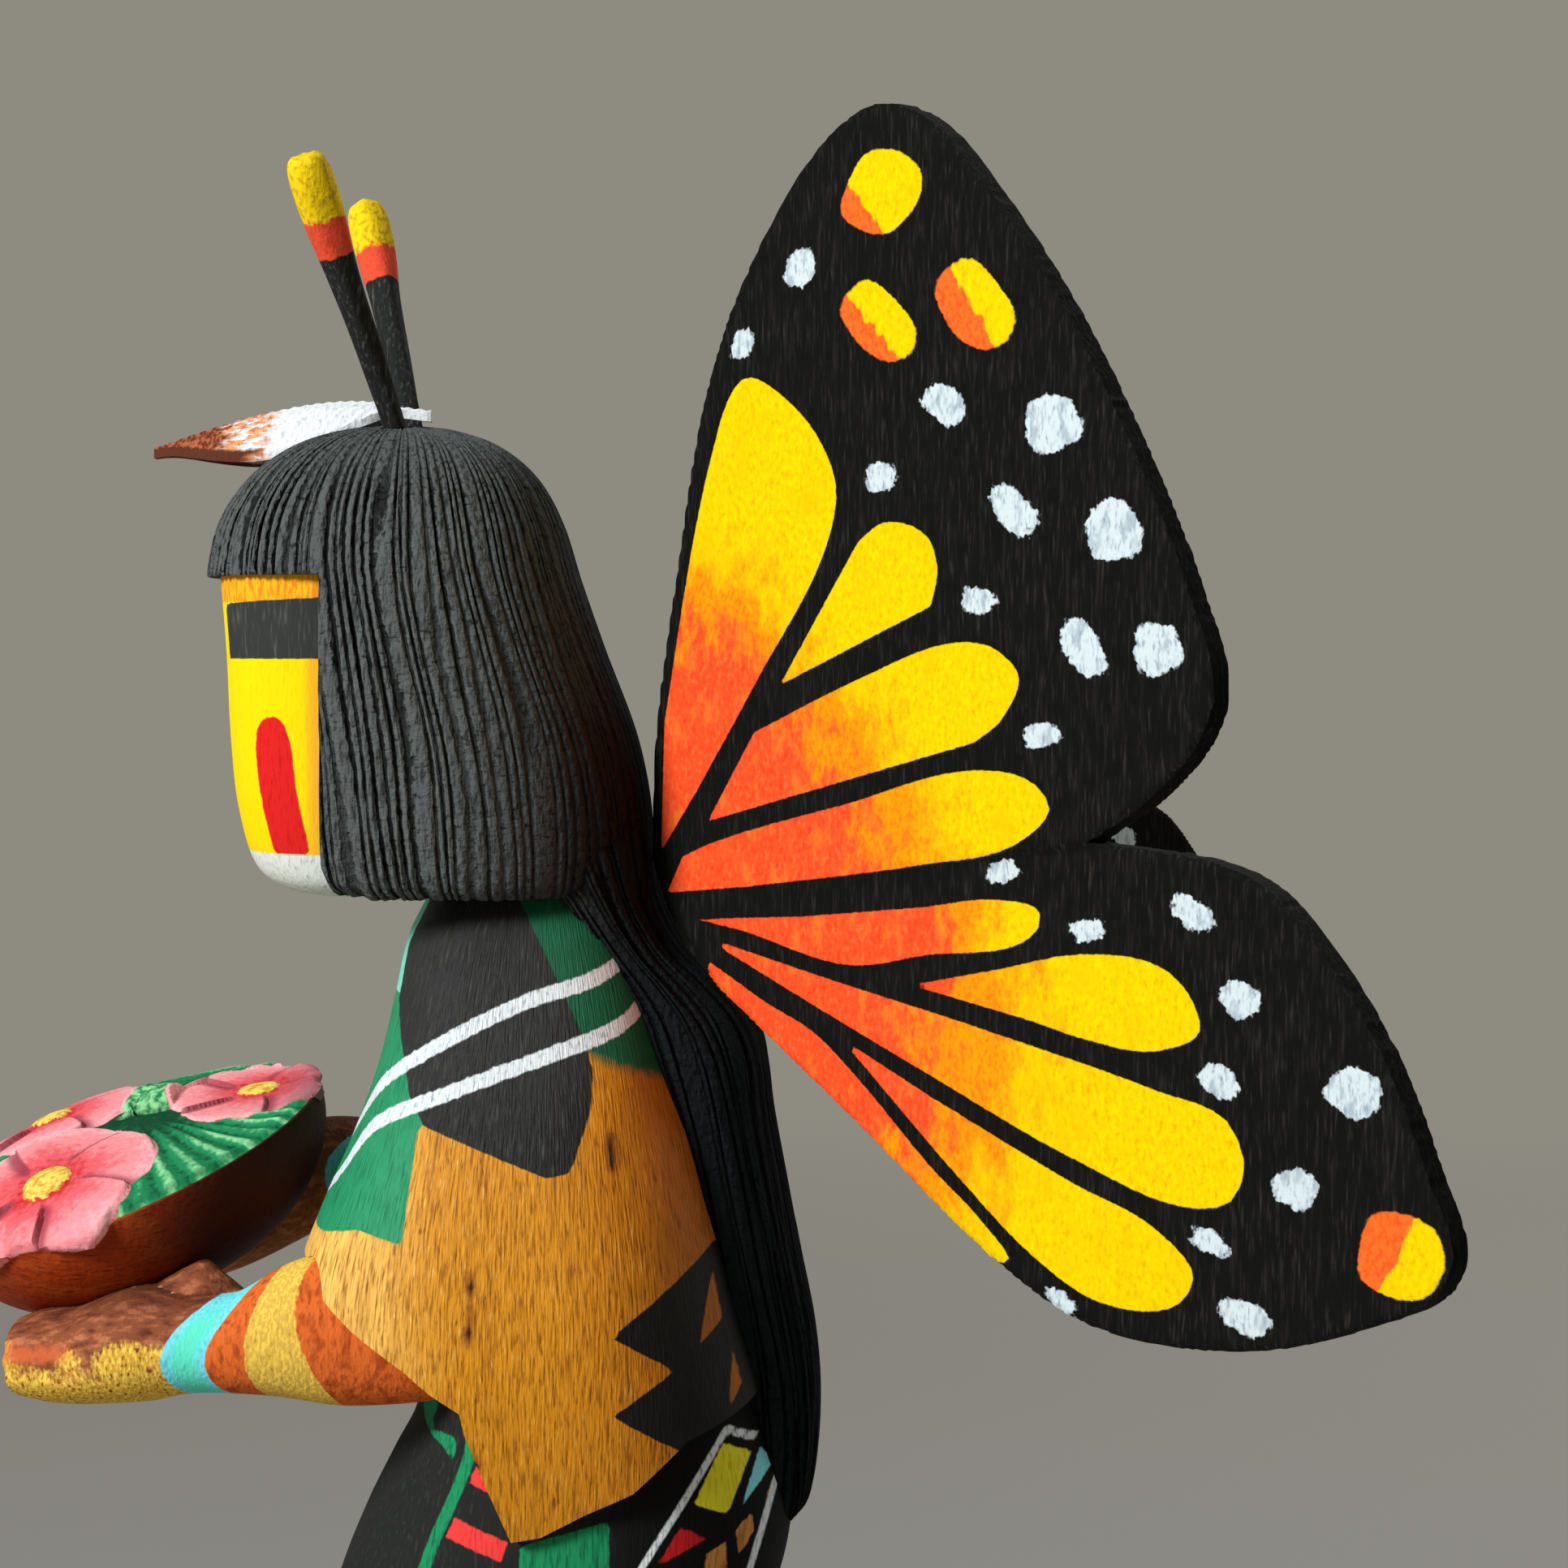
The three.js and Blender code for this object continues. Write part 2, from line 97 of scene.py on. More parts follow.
# Lower edge of the cape, seen from the side, closed far below it
CAPE_EDGE = [
    (-40, 150.5), (-21, 147.6), (-18.2, 145), (-15, 142.6), (-12, 140.7), (-9.8, 139.3), (-7.5, 137.4),
    (-4.7, 135.6), (-4.3, 133.6), (-3.1, 130.4), (-2.2, 128.2), (-0.2, 123.4), (2.5, 123.9),
    (6.6, 126.1), (11, 128), (15.9, 132.4), (40, 140), (40, 90), (-40, 90),
]

# Limbs: x, y, z, half width, half height
LEFT_ARM = [
    (18.4, -2, 141.8, 4.4, 5.2), (19.4, -9, 141.2, 4.8, 6.5), (19, -18.6, 141.2, 4.9, 7.1),
    (17.8, -26.8, 139.6, 4.8, 4.8), (16.8, -31.2, 139.3, 4.9, 4.7), (15.4, -36.2, 139, 6.2, 5.5),
    (14, -42.6, 137.5, 6.4, 4.7), (13.5, -46.8, 137.3, 6, 4.3), (13.3, -48.9, 137.1, 5.6, 3.7),
]
RIGHT_ARM = [
    (-18.4, -2, 143.6, 4.4, 5.2), (-19.6, -8, 144.6, 4.8, 6.5), (-19, -16, 148.2, 4.9, 6.4),
    (-17.6, -22, 150.2, 4.8, 5.3), (-16.6, -25.5, 150.4, 4.9, 5.2), (-15.2, -30, 148.2, 6, 5.6),
    (-13.6, -37, 144.2, 6.4, 4.8), (-12.6, -42, 142.4, 5.6, 3.8), (-12.2, -43.8, 142, 4.4, 3),
]
# Each thumb, a wedge that stands up beside the bowl: x, y, z, half thickness, half breadth
LEFT_THUMB = [
    (14.6, -31.7, 139.6, 3.6, 8.4), (14.6, -31.5, 142.6, 3.1, 6.2), (14.6, -31.3, 144.8, 2.3, 3.3),
    (14.6, -31.1, 146.6, 1, 0.6),
]
RIGHT_THUMB = [
    (-15.2, -30.6, 147.1, 3.4, 6.4), (-14.8, -29.2, 150.1, 3, 4.8), (-14.4, -28, 152.4, 2.2, 2.8),
    (-14.2, -27.1, 154.2, 1, 0.7),
]
# Paint along the arm, by the way from its root: band, bracelet with its greener middle, hand, nail
YELLOW_BAND = (17.8, 23)
BRACELET = (26.7, 30.8)
BRACELET_MIDDLE = (27.5, 30)
HAND_START = 29
NAIL_START = (39, 43)
# Place on the hand whose paint the thumb takes: way along it and height above its middle
THUMB_PAINT = (36, 3)
# How much nearer the body the right arm's bands are than the left arm's
RIGHT_BANDS = 5

# Wings: a runs outwards along the board from its root, z upwards
WING_ANGLE = math.radians(45)
WING_ROOT = (4, 10.4)
WING_THICKNESS = 2.6
WING_EDGE = 0.4
# Grid that a board is worked out on: step, and range along a and z
WING_STEP = 0.46
WING_LENGTHS = (-3, 97.5)
WING_HEIGHTS = (145, 256.5)
# How much lower the hind wing lies behind the notch
HIND_WING_DROP = 0.4
FORE_WING = [
    (0.6, 184.4), (0.9, 194.5), (4.7, 214), (8.2, 228), (13, 238), (20.2, 247), (26.6, 252.1),
    (32.2, 253.6), (38, 251.6), (45.4, 244.6), (54.2, 233.8), (63, 219.7), (68, 209.6), (70.6, 202),
    (69.4, 198), (64.4, 193), (57.2, 188.8),
]
HIND_WING = [
    (57.2, 188.8), (64, 188.4), (70.4, 187.8), (76, 186), (81.6, 181.2), (87.3, 174), (91.7, 165),
    (94, 159), (92.6, 156), (86, 152.4), (77, 149.2), (67, 147.7), (56.5, 148.2), (46.2, 152.2),
    (30, 161.6), (10.2, 172.8),
]
WING_HEEL = [(5.2, 176.4), (2.4, 180.6)]

# Painted cells of the wing: how far from the blush's centre red turns orange and orange yellow, and the
# outline from the cell's tip round to it again
BLUSH_CENTRE = (2, 182)
WING_CELLS = [
    (26, 33, [(2.2, 185.4), (2.7, 197.8), (6.9, 214.9), (9.4, 222.6), (12.7, 229.3), (14.6, 230.4),
              (19.9, 228.2), (24.5, 224.2), (26.8, 219.7), (25.7, 214.8), (16, 202), (7.6, 191.6)]),
    (20, 29, [(19.3, 201.7), (29.7, 214.7), (33, 216.3), (38.4, 214.9), (39.7, 212.1), (38.9, 208.8)]),
    (27, 35, [(9.1, 188.6), (15.7, 197.2), (30.1, 202.4), (41.3, 205.5), (46.4, 205.1), (49.5, 202.6),
              (47.4, 198.9), (44.2, 196.9)]),
    (31, 39, [(3.1, 181.4), (5.4, 185), (9.3, 186.4), (27.6, 190.8), (45.1, 194.5), (51.5, 193.4),
              (53.1, 191.5), (49.2, 188.3), (37.6, 185.9), (14.3, 182.6)]),
    (40, 44.5, [(7.6, 179.1), (22.4, 180.3), (37.6, 182.1), (47, 183.3), (51.7, 182.5), (51.5, 181.1),
                (37.6, 177.8), (28.6, 176.3), (14.3, 178.4)]),
    (42, 50.5, [(36.6, 175.1), (47, 177.3), (56.5, 179.3), (65, 179), (68.3, 177), (69.6, 174.1),
                (65, 172), (57.4, 172.2), (51.2, 173.2)]),
    (40, 52, [(11, 177.1), (25, 174.9), (47, 171.7), (65.1, 168.7), (72.5, 167), (74.3, 163.6),
              (72.9, 160.6), (68.4, 159.5), (55.8, 162), (38.9, 167.3), (24.2, 172.1), (11.2, 176.5)]),
    (42.5, 51, [(28.9, 169), (38.9, 165.4), (55.8, 159.9), (65.1, 157.2), (69.1, 154), (67.5, 151.4),
                (59, 150.2), (51.9, 152.7), (42.4, 158.7), (35.3, 163.8), (29, 168.4)]),
    (41, 49.5, [(9.3, 175.1), (17.5, 171.8), (23.8, 169.7), (30.6, 165.4), (38.9, 159.2), (44.9, 155.4),
                (48.6, 152.2), (44, 152), (28, 160.6), (8, 172.2)]),
]
# White dabs as they look from the doll's side: a, z, half length, half height, tilt in degrees
WHITE_DABS = [
    (22, 239.9, 1.5, 1.8, -15), (14.1, 233.6, 1.1, 1.5, -25), (40.5, 226.4, 2.2, 1.5, -45),
    (53.2, 224, 2.3, 2.5, 20), (32.6, 220.4, 1.5, 1.4, 0), (48.8, 216.9, 2.7, 1.5, -50),
    (60.1, 214.8, 2.2, 2.6, 15), (44.7, 209.2, 1.6, 1.2, -10), (56.8, 205.1, 2.8, 1.5, -62),
    (64.9, 205, 1.9, 2.2, 10), (52.1, 197.7, 1.6, 1.1, 10), (47.4, 185.8, 1.5, 1, 20),
    (57.2, 181.4, 1.5, 1, 15), (68.5, 183.6, 1.9, 1.2, -38), (73.7, 177, 1.6, 1.5, -40),
    (71.6, 170.2, 1.6, 1.3, -35), (85, 170.7, 1.9, 2, -30), (79.4, 162.5, 1.6, 1.7, -30),
    (70.8, 157, 1.6, 1, -25), (74.4, 151.4, 2, 1.4, -15), (54.6, 149.5, 1.5, 0.9, -40),
]
# Round spots of two colours: the same numbers
TWO_TONE_SPOTS = [
    (32.6, 245.7, 3.4, 3.6, -30), (32.2, 234.2, 4.1, 2.4, -50), (44.1, 234.7, 4.2, 2.6, -57),
    (89.4, 158.6, 2.8, 3.3, -10),
]
# How far off each spot's middle its orange part begins, and which way in degrees
ORANGE_STARTS = [(1.9, 215), (0.6, 217), (0.2, 207), (0.1, 158)]
DAB_SQUARENESS = 2.6
# How much shorter the boards look from the side
SIDE_LOOK = 0.72

# Paint of the cape, seen from the side (y, z) and alike on both sides
CHEST_PATCH = [
    (-9.5, 184), (-10.4, 180.4), (-12, 176.7), (-12.5, 171.8), (-11.7, 168.4), (-10.3, 163.5),
    (-8.7, 161), (-4.2, 159.4), (3.2, 156.6), (5.2, 157.2), (6.7, 162.3), (6.9, 165.8), (5.5, 169.7),
    (1.9, 176.5), (-2.5, 184),
]
FRONT_GREEN = [
    (-30, 172.3), (-30, 150), (-18.9, 150.5), (-14.7, 151.5), (-10.2, 150.6), (-9.3, 160.5), (-6, 165),
    (-10, 172.3),
]
BACK_GREEN = [(-4, 184), (0, 172), (5, 168), (8.8, 166.3), (12.7, 164.7), (17, 164.2), (17, 184)]
NECKLACE = [(-9, 184), (-10, 172.3), (-30, 172.3), (-30, 184)]
TEETH = [
    (17.6, 149), (9.1, 142.5), (14.7, 139), (9.2, 135.3), (15.5, 131.4), (18, 128), (30, 132), (30, 149),
]
TEETH_GAPS = [
    [(17.6, 146.9), (18.6, 142.2), (16.8, 140.8)],
    [(19.5, 139.2), (20.4, 135.9), (19.4, 134.3)],
]
# White lines over the shoulder: x, y, z from the middle of the front round to the hair
UPPER_LINE = [
    (0, -19, 156), (6, -18, 157.4), (11.3, -16.5, 159.5), (15.8, -13, 164.1), (19.4, -7.3, 168.3),
    (19, 0.2, 172.1), (15.8, 6.3, 174.1), (12, 10, 176),
]
LOWER_LINE = [
    (0, -21, 151.4), (7, -20, 152.6), (14, -17.6, 155), (17.3, -13.8, 160.1), (21.8, -5.6, 164.3),
    (21.1, 2.1, 167.2), (16.5, 8.4, 169.7), (12, 12, 172),
]
LINE_WIDTH = 1.35
# Drying cracks of the left side
CAPE_CRACKS = [
    [(-4, 148.3), (-3.3, 146.1), (-3.6, 143.2), (-4.2, 142.1)], [(-3, 131.2), (-4.2, 128.8)],
    [(8.6, 160.2), (8.9, 157.4)],
]
CRACK_WIDTH = 0.5
# Radius at which the body's surface is laid flat
FLAT_RADIUS = 20

# Paint of the mask; the eye band widens upwards from the front and stops short of the middle
EYE_BAND = (204.1, 209.4)
EYE_BAND_RISE = 0.045
EYE_BAND_FRONT = -29
EYE_BAND_GAP = 10.5
BROW_LINE = 209.5
CHIN_LINE = 185.6
CHEEK_MARK = [
    (-24.2, 185.6), (-25.4, 191.2), (-25.8, 196), (-25.4, 198), (-24.2, 198.7), (-22.9, 198.2),
    (-22.2, 196.6), (-21.5, 191.3), (-20.3, 185.6),
]
MASK_SHADE = -20.6

# Paint of the dress, seen from the side
DRESS_STRIPE = [
    (-4.3, 133.1), (-4.7, 130), (-5.8, 127.1), (-7, 124.4), (-8.1, 122), (-8.9, 119.7), (-11, 112),
    (-12.2, 104), (-13, 96),
]
STRIPE_REACH = (-0.55, 0.65)
DRESS_CRESCENT = [
    (-10.6, 134.6), (-8.4, 135), (-8.5, 133), (-9, 132.2), (-8.6, 131.5), (-7.8, 131.5), (-6.2, 131.3),
    (-6.4, 129.5), (-7.6, 130.3), (-9.2, 131), (-10.2, 131.9),
]
# Red dashes behind the stripe: height of the first, step, half height, reach past the stripe, lower end
DASH_START = 134
DASH_STEP = 5
DASH_HALF = 0.9
DASHES = (1, 7)
DASH_END = (97, 98)
GREEN_PANEL = [(0.4, 122.7), (8.6, 125), (8.8, 110), (0.2, 110)]
BACK_PANEL = [(24.2, 127), (28, 127), (28, 118), (24.6, 118.6)]
SASH = [(19, 131.8), (21.4, 129.1), (23.6, 124), (21.1, 118), (16, 106), (6, 110), (11.6, 120.6)]
SASH_YELLOW = [(18.7, 130.7), (21.2, 129), (19.2, 124.2), (16.2, 125.8)]
SASH_BLUE = [(21.9, 128.9), (23.1, 126.9), (20.4, 124.4)]
SASH_RED = [(15, 123.9), (17.5, 122.5), (12.9, 120.5)]
SASH_BARS = [
    [(17.2, 120.8), (19, 121.7), (19.1, 118.6), (17.1, 118.4)],
    [(19.9, 122.6), (21.3, 123.4), (21.5, 121.7), (20.2, 119.8)],
    [(22.5, 124.4), (23.2, 125), (23.2, 123.8), (22.6, 123.1)],
]
SASH_LINES = [
    [(16, 106), (6, 110), (11.6, 120.6), (19, 131.8), (21.5, 130)],
    [(23.4, 125.4), (21.1, 118), (16, 106)],
]
SASH_LINE_WIDTH = 0.64
SASH_REPEAT = (-5.4, -10.4)
HEM_GREEN = (41, 46.5)
HEM_RED = (47.5, 48.5)

# Feather on the head: y, height of its ridge, half width
FEATHER = [
    (-11.2, 228.3, 0.6), (-14.2, 228.7, 0.8), (-17, 229.2, 2.6), (-22, 229.1, 4.2), (-28, 228, 4.4),
    (-34, 226.3, 3), (-38.8, 224.7, 0.5),
]
FEATHER_THICKNESS = 0.8
FEATHER_ARCH = 0.2
# Where flames and tip begin, from the quill's end
FLAMES_START = (17.6, 19.4)
FEATHER_TIP_START = (22.4, 23.8)

# Antennae: foot, direction point, and radius by the distance from the foot
ANTENNA_FOOT = (5.2, -13.6, 225.5)
ANTENNA_TOWARDS = (16, -20.6, 251.2)
ANTENNA_PROFILE = [
    (0, 1.05), (7, 1.2), (14, 1.4), (18, 1.62), (21.4, 1.95), (24.8, 2.12), (27.2, 1.98), (28.2, 1.65),
    (28.6, 1.15),
]
ANTENNA_RED_START = 18.9
ANTENNA_YELLOW_START = 22.6

# Bowl heaped with flowers
BOWL_RADIUS = 20
BOWL_DEPTH = 12.8
BOWL_CENTRE = (0, -41.6, 153.7)
BOWL_PITCH = math.radians(21)
BOWL_ROLL = math.radians(10.6)
# Heap of flowers: height in the middle, how it falls along x and y, the least it falls to, and its fullness
HEAP_RISE = 3.9
HEAP_LEAN = (0.03, 0.2)
HEAP_LEAST = 0.6
HEAP_FULLNESS = 3.5
# Flowers: x, y, radius, turn of the first petal, share of the full relief
FLOWERS = [(12, -4.2, 10.8, 0.15, 1), (-6.4, -8.6, 9.6, 0.9, 0.9), (-5, 13.1, 9, 0.5, 0.6)]
PETALS = 5
PETAL_RISE = 0.3
PETAL_EDGE = 0.5
LEAF_HEART = (-1.5, 1.2)
LEAF_RIBS = 46
LEAF_INSET = 0.4
PETAL_DROP = 0.8
BUD = (-5.2, 2, 3.6)

# Studio and camera, in metres
WALL_GREY = (0.27, 0.262, 0.22, 1)
CEILING_GREY = (0.05, 0.05, 0.048, 1)
# Rise of a look outwards, as a share of straight up, over which the walls darken into the ceiling
CEILING_FADE = (0.22, 0.6)
# Distances over which the floor fades out, and half its side
FLOOR_FADE = (0.25, 1.1)
FLOOR_HALF = 1.2
# Lights: place, size, power
KEY_LIGHT = ((0.62, -0.6, 0.7), 0.3, 11.8)
BACK_LIGHT = ((-0.7, 0.5, 0.75), 0.6, 4)
LIGHTS_AIM = (0, 0, 0.17)
CAMERA_PLACE = (0.298, 0.036, 0.205)
CAMERA_TURN = math.radians(2.368)
CAMERA_DIP = math.radians(2.555)
# Millimetres of lens and sensor
CAMERA_LENS = 69.3
CAMERA_SENSOR = 36


# Curves and rings

def through(rows, count):
    """Cubic curve through rows of numbers, timed by the distance between them; the slope at each row is
    the mean of the slopes before and after it."""
    rows = np.asarray(rows, float)
    step = np.linalg.norm(np.diff(rows, axis=0), axis=1)
    time = np.concatenate([[0], np.cumsum(step)])
    slope = np.diff(rows, axis=0) / step[:, None]
    slope = np.concatenate([slope[:1], (slope[1:] + slope[:-1]) / 2, slope[-1:]])
    now = np.linspace(0, time[-1], count)
    span = np.clip(np.searchsorted(time, now, side="right") - 1, 0, len(step) - 1)
    share = ((now - time[span]) / step[span])[:, None]
    ease = share ** 2 * (3 - 2 * share)
    swing = (1 - share) * slope[span] - share * slope[span + 1]
    return rows[span] * (1 - ease) + rows[span + 1] * ease + step[span][:, None] * share * (1 - share) * swing


def turns(columns):
    """Angles of the columns of a ring."""
    return np.arange(columns) * 2 * np.pi / columns


def stack(rows, levels, columns, squareness, widest, centre=0.0):
    """Rings of rounded-square sections, lowest first: x goes as the cosine of the turn and y as its sine,
    each to the power 2 / squareness; widest says how far back the broadest line is."""
    height, front, back, half = through(sorted(rows), levels).T[:, :, None]
    turn = turns(columns)
    power = 2 / squareness
    across = np.sign(np.cos(turn)) * np.abs(np.cos(turn)) ** power
    along = np.sign(np.sin(turn)) * np.abs(np.sin(turn)) ** power
    middle = front + (back - front) * widest
    reach = np.where(along < 0, middle - front, back - middle)
    x = centre + half * across
    y = middle + reach * along
    return np.stack(np.broadcast_arrays(x, y, height), axis=-1)


def limb(rows, levels, columns):
    """Rings of ovals along a curved path and square to it: half width sideways, half height upwards."""
    path = through(rows, levels)
    ahead = unit(np.gradient(path[:, :3], axis=0))
    side = unit(np.cross([0, 0, 1], ahead))
    up = np.cross(ahead, side)
    turn = turns(columns)[None, :, None]
    sideways = path[:, None, 3:4] * np.cos(turn) * side[:, None]
    upwards = path[:, None, 4:5] * np.sin(turn) * up[:, None]
    return path[:, None, :3] + sideways + upwards


def unit(vectors):
    """The same directions at length one."""
    return vectors / (np.linalg.norm(vectors, axis=-1, keepdims=True) + 1e-12)


def sink(rings, depth):
    """Moves the points of a skin inwards along its normals, which are the cross product of the steps
    round a ring and from ring to ring."""
    upwards = np.gradient(rings, axis=0)
    around = np.roll(rings, -1, axis=1) - np.roll(rings, 1, axis=1)
    return rings - unit(np.cross(around, upwards)) * depth[..., None]


def smooth(value, start, end):
    """0 before start, 1 after end, and an even swing between them."""
    share = np.clip((value - start) / (end - start), 0, 1)
    return share * share * (3 - 2 * share)


def way_round(ring):
    """Share of the way round a ring at each of its points."""
    step = np.linalg.norm(np.roll(ring, -1, axis=0) - ring, axis=1)
    return (np.cumsum(step) - step) / step.sum()


def scatter(index):
    """Even scatter from 0 to 1, the same each time, from whole numbers."""
    return np.abs(np.modf(np.sin(index * 12.9898) * 43758.5453)[0])


def strand_number(ring, height, count):
    """Counts the strands round from the middle of the back: the way round times the count, set closer and
    wider by waves that repeat round the ring, and wandering a little with the height."""
    share = way_round(ring)
    share = np.mod(share - share[len(ring) // 4], 1)[None]
    lap = 2 * np.pi * share
    uneven = 0.3 * np.sin(23 * lap) + 0.22 * np.sin(37 * lap + 1)
    wander = 0.3 * np.sin(height / 13 + 5 * lap) + 0.14 * np.sin(height / 4.3 + 11 * lap)
    return share * count + uneven + wander


def strands(number):
    """Carved strands: how deep the cuts are and how low each ridge lies, 0 to 1. A cut runs along the middle
    of each number, each with its own depth."""
    whole = np.floor(number)
    deep = 0.55 + 0.45 * scatter(whole)
    cut = np.clip(1 - np.abs(number - whole - 0.5) / 0.27, 0, 1) * deep
    return cut, deep, scatter(np.floor(number + 0.5) + 0.25)


def line_distance(points, path):
    """Distance of each point from the line along a path."""
    path = np.asarray(path, float)
    near = np.full(len(points), np.inf)
    for start, end in zip(path[:-1], path[1:]):
        run = end - start
        share = np.clip((points - start) @ run / (run @ run), 0, 1)
        near = np.minimum(near, np.linalg.norm(points - start - share[:, None] * run, axis=1))
    return near


def outline_distance(points, outline):
    """Distance of each point from a closed outline, below zero inside it, by counting crossings."""
    closed = np.concatenate([outline, outline[:1]]).astype(float)
    inside = np.zeros(len(points), bool)
    for start, end in zip(closed[:-1], closed[1:]):
        spans = (start[1] > points[:, 1]) != (end[1] > points[:, 1])
        slant = (end[0] - start[0]) / (end[1] - start[1] or 1)
        inside ^= spans & (points[:, 0] < start[0] + (points[:, 1] - start[1]) * slant)
    return np.where(inside, -1, 1) * line_distance(points, closed)


def outlines_distance(points, outlines):
    """Distance from the nearest of several outlines."""
    return np.min([outline_distance(points, outline) for outline in outlines], axis=0)


def ovals_distance(points, ovals, wobble):
    """Distance from the nearest of several tilted ovals, near enough for paint: the distance is measured in
    half sizes and scaled by the smaller one; the wobble dents each oval's outline in its own way."""
    found = []
    for a, z, half_length, half_height, tilt in ovals:
        along, up = (points[:, 0] - a) * SIDE_LOOK, points[:, 1] - z
        lean = math.radians(tilt)
        far = (along * math.cos(lean) + up * math.sin(lean)) / half_length
        wide = (up * math.cos(lean) - along * math.sin(lean)) / half_height
        swing = np.arctan2(wide, far)
        dents = np.sin(3 * swing + a) + 0.7 * np.sin(5 * swing + z) + 0.4 * np.sin(8 * swing + a)
        size = (np.abs(far) ** DAB_SQUARENESS + np.abs(wide) ** DAB_SQUARENESS) ** (1 / DAB_SQUARENESS)
        share = size / (1 + wobble * dents)
        found.append((share - 1) * min(half_length, half_height))
    return np.min(found, axis=0)


# Meshes

def new_piece(name, points, faces, paint):
    """Object with a mesh of points in millimetres."""
    mesh = bpy.data.meshes.new(name)
    mesh.from_pydata((np.asarray(points) * MM).tolist(), [], faces)
    mesh.materials.append(paint)
    piece = bpy.data.objects.new(name, mesh)
    bpy.context.scene.collection.objects.link(piece)
    return piece


def mark(mesh, name, values):
    """Writes one number for each point of a mesh, for its paint to read."""
    layer = mesh.attributes.new(name, "FLOAT", "POINT")
    layer.data.foreach_set("value", np.asarray(values, np.float32).ravel())


def skin(name, rings, paint, **marks):
    """Closed mesh over rings of points, with a fan at each end; marks hold one number for each point."""
    levels, columns = rings.shape[:2]
    grid = np.arange(levels * columns).reshape(levels, columns)
    beside = np.roll(grid, -1, axis=1)
    sides = np.stack([grid[:-1], beside[:-1], beside[1:], grid[1:]], axis=-1).reshape(-1, 4)
    low = np.stack([beside[0], grid[0], np.full(columns, grid.size)], axis=-1)
    high = np.stack([grid[-1], beside[-1], np.full(columns, grid.size + 1)], axis=-1)
    points = np.concatenate([rings.reshape(-1, 3), rings[[0, -1]].mean(axis=1)])
    piece = new_piece(name, points, sides.tolist() + low.tolist() + high.tolist(), paint)
    for key, values in {**marks, "known": np.ones((levels, columns))}.items():
        mark(piece.data, key, np.concatenate([values.ravel(), values[[0, -1]].mean(axis=1)]))
    return piece


def prism(name, near, far, paint):
    """Closed mesh between two outlines of the same number of points."""
    count = len(near)
    first = np.arange(count)
    beside = np.roll(first, -1)
    walls = np.stack([first, beside, beside + count, first + count], axis=-1).tolist()
    ends = [first[::-1].tolist(), (first + count).tolist()]
    piece = new_piece(name, np.concatenate([near, far]), walls + ends, paint)
    shape = bmesh.new()
    shape.from_mesh(piece.data)
    bmesh.ops.recalc_face_normals(shape, faces=shape.faces)
    shape.to_mesh(piece.data)
    shape.free()
    return piece


def side_prism(name, outline, reach, paint):
    """Prism across the doll over an outline seen from its side."""
    outline = np.asarray(outline, float)
    across = np.full((len(outline), 1), reach)
    return prism(name, np.hstack([-across, outline]), np.hstack([across, outline]), paint)


def combine(piece, tool, how):
    """Joins the tool to the piece, cuts it away, or keeps what both share; the tool is used up."""
    step = piece.modifiers.new(how, "BOOLEAN")
    step.object = tool
    step.operation = how
    step.solver = "MANIFOLD"
    step.material_mode = "TRANSFER"
    shape = piece.evaluated_get(bpy.context.evaluated_depsgraph_get())
    mesh = bpy.data.meshes.new_from_object(shape)
    piece.modifiers.clear()
    piece.data = mesh
    bpy.data.objects.remove(tool)


def trim(piece, rows, roundness, paint):
    """Cuts away what would lie inside an upright form of the figure."""
    combine(piece, skin("trim", stack(rows, 60, 96, *roundness), paint), "DIFFERENCE")


def heal(mesh, names):
    """Gives the points along a joint, which carry no mark, the mean of the marked points beside them."""
    ends = np.empty(2 * len(mesh.edges), np.int32)
    mesh.edges.foreach_get("vertices", ends)
    ends = np.concatenate([ends.reshape(-1, 2), ends.reshape(-1, 2)[:, ::-1]])
    known = np.empty(len(mesh.vertices), np.float32)
    mesh.attributes["known"].data.foreach_get("value", known)
    weight = np.bincount(ends[:, 0], known[ends[:, 1]], len(known))
    for name in names:
        layer = mesh.attributes[name].data
        values = np.empty(len(known), np.float32)
        layer.foreach_get("value", values)
        total = np.bincount(ends[:, 0], (known * values)[ends[:, 1]], len(known))
        healed = np.where(known > 0.5, values, total / np.maximum(weight, 1))
        layer.foreach_set("value", healed.astype(np.float32))


def points_of(piece):
    """Points of a piece in millimetres."""
    points = np.empty(3 * len(piece.data.vertices), np.float32)
    piece.data.vertices.foreach_get("co", points)
    return points.reshape(-1, 3).astype(float) / MM


def hand_over(piece, node, crease=40):
    """Smooth shading up to the crease angle; the piece stands for its node of the solids."""
    piece.data.shade_smooth()
    piece.data.set_sharp_from_angle(angle=math.radians(crease))
    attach(piece, "root")
    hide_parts(node)


# Paints

def linear(colour):
    """Linear colour from red, green and blue up to 255."""
    share = np.asarray(colour, float) / 255
    value = np.where(share <= 0.04045, share / 12.92, ((share + 0.055) / 1.055) ** 2.4)
    return (*value.tolist(), 1.0)


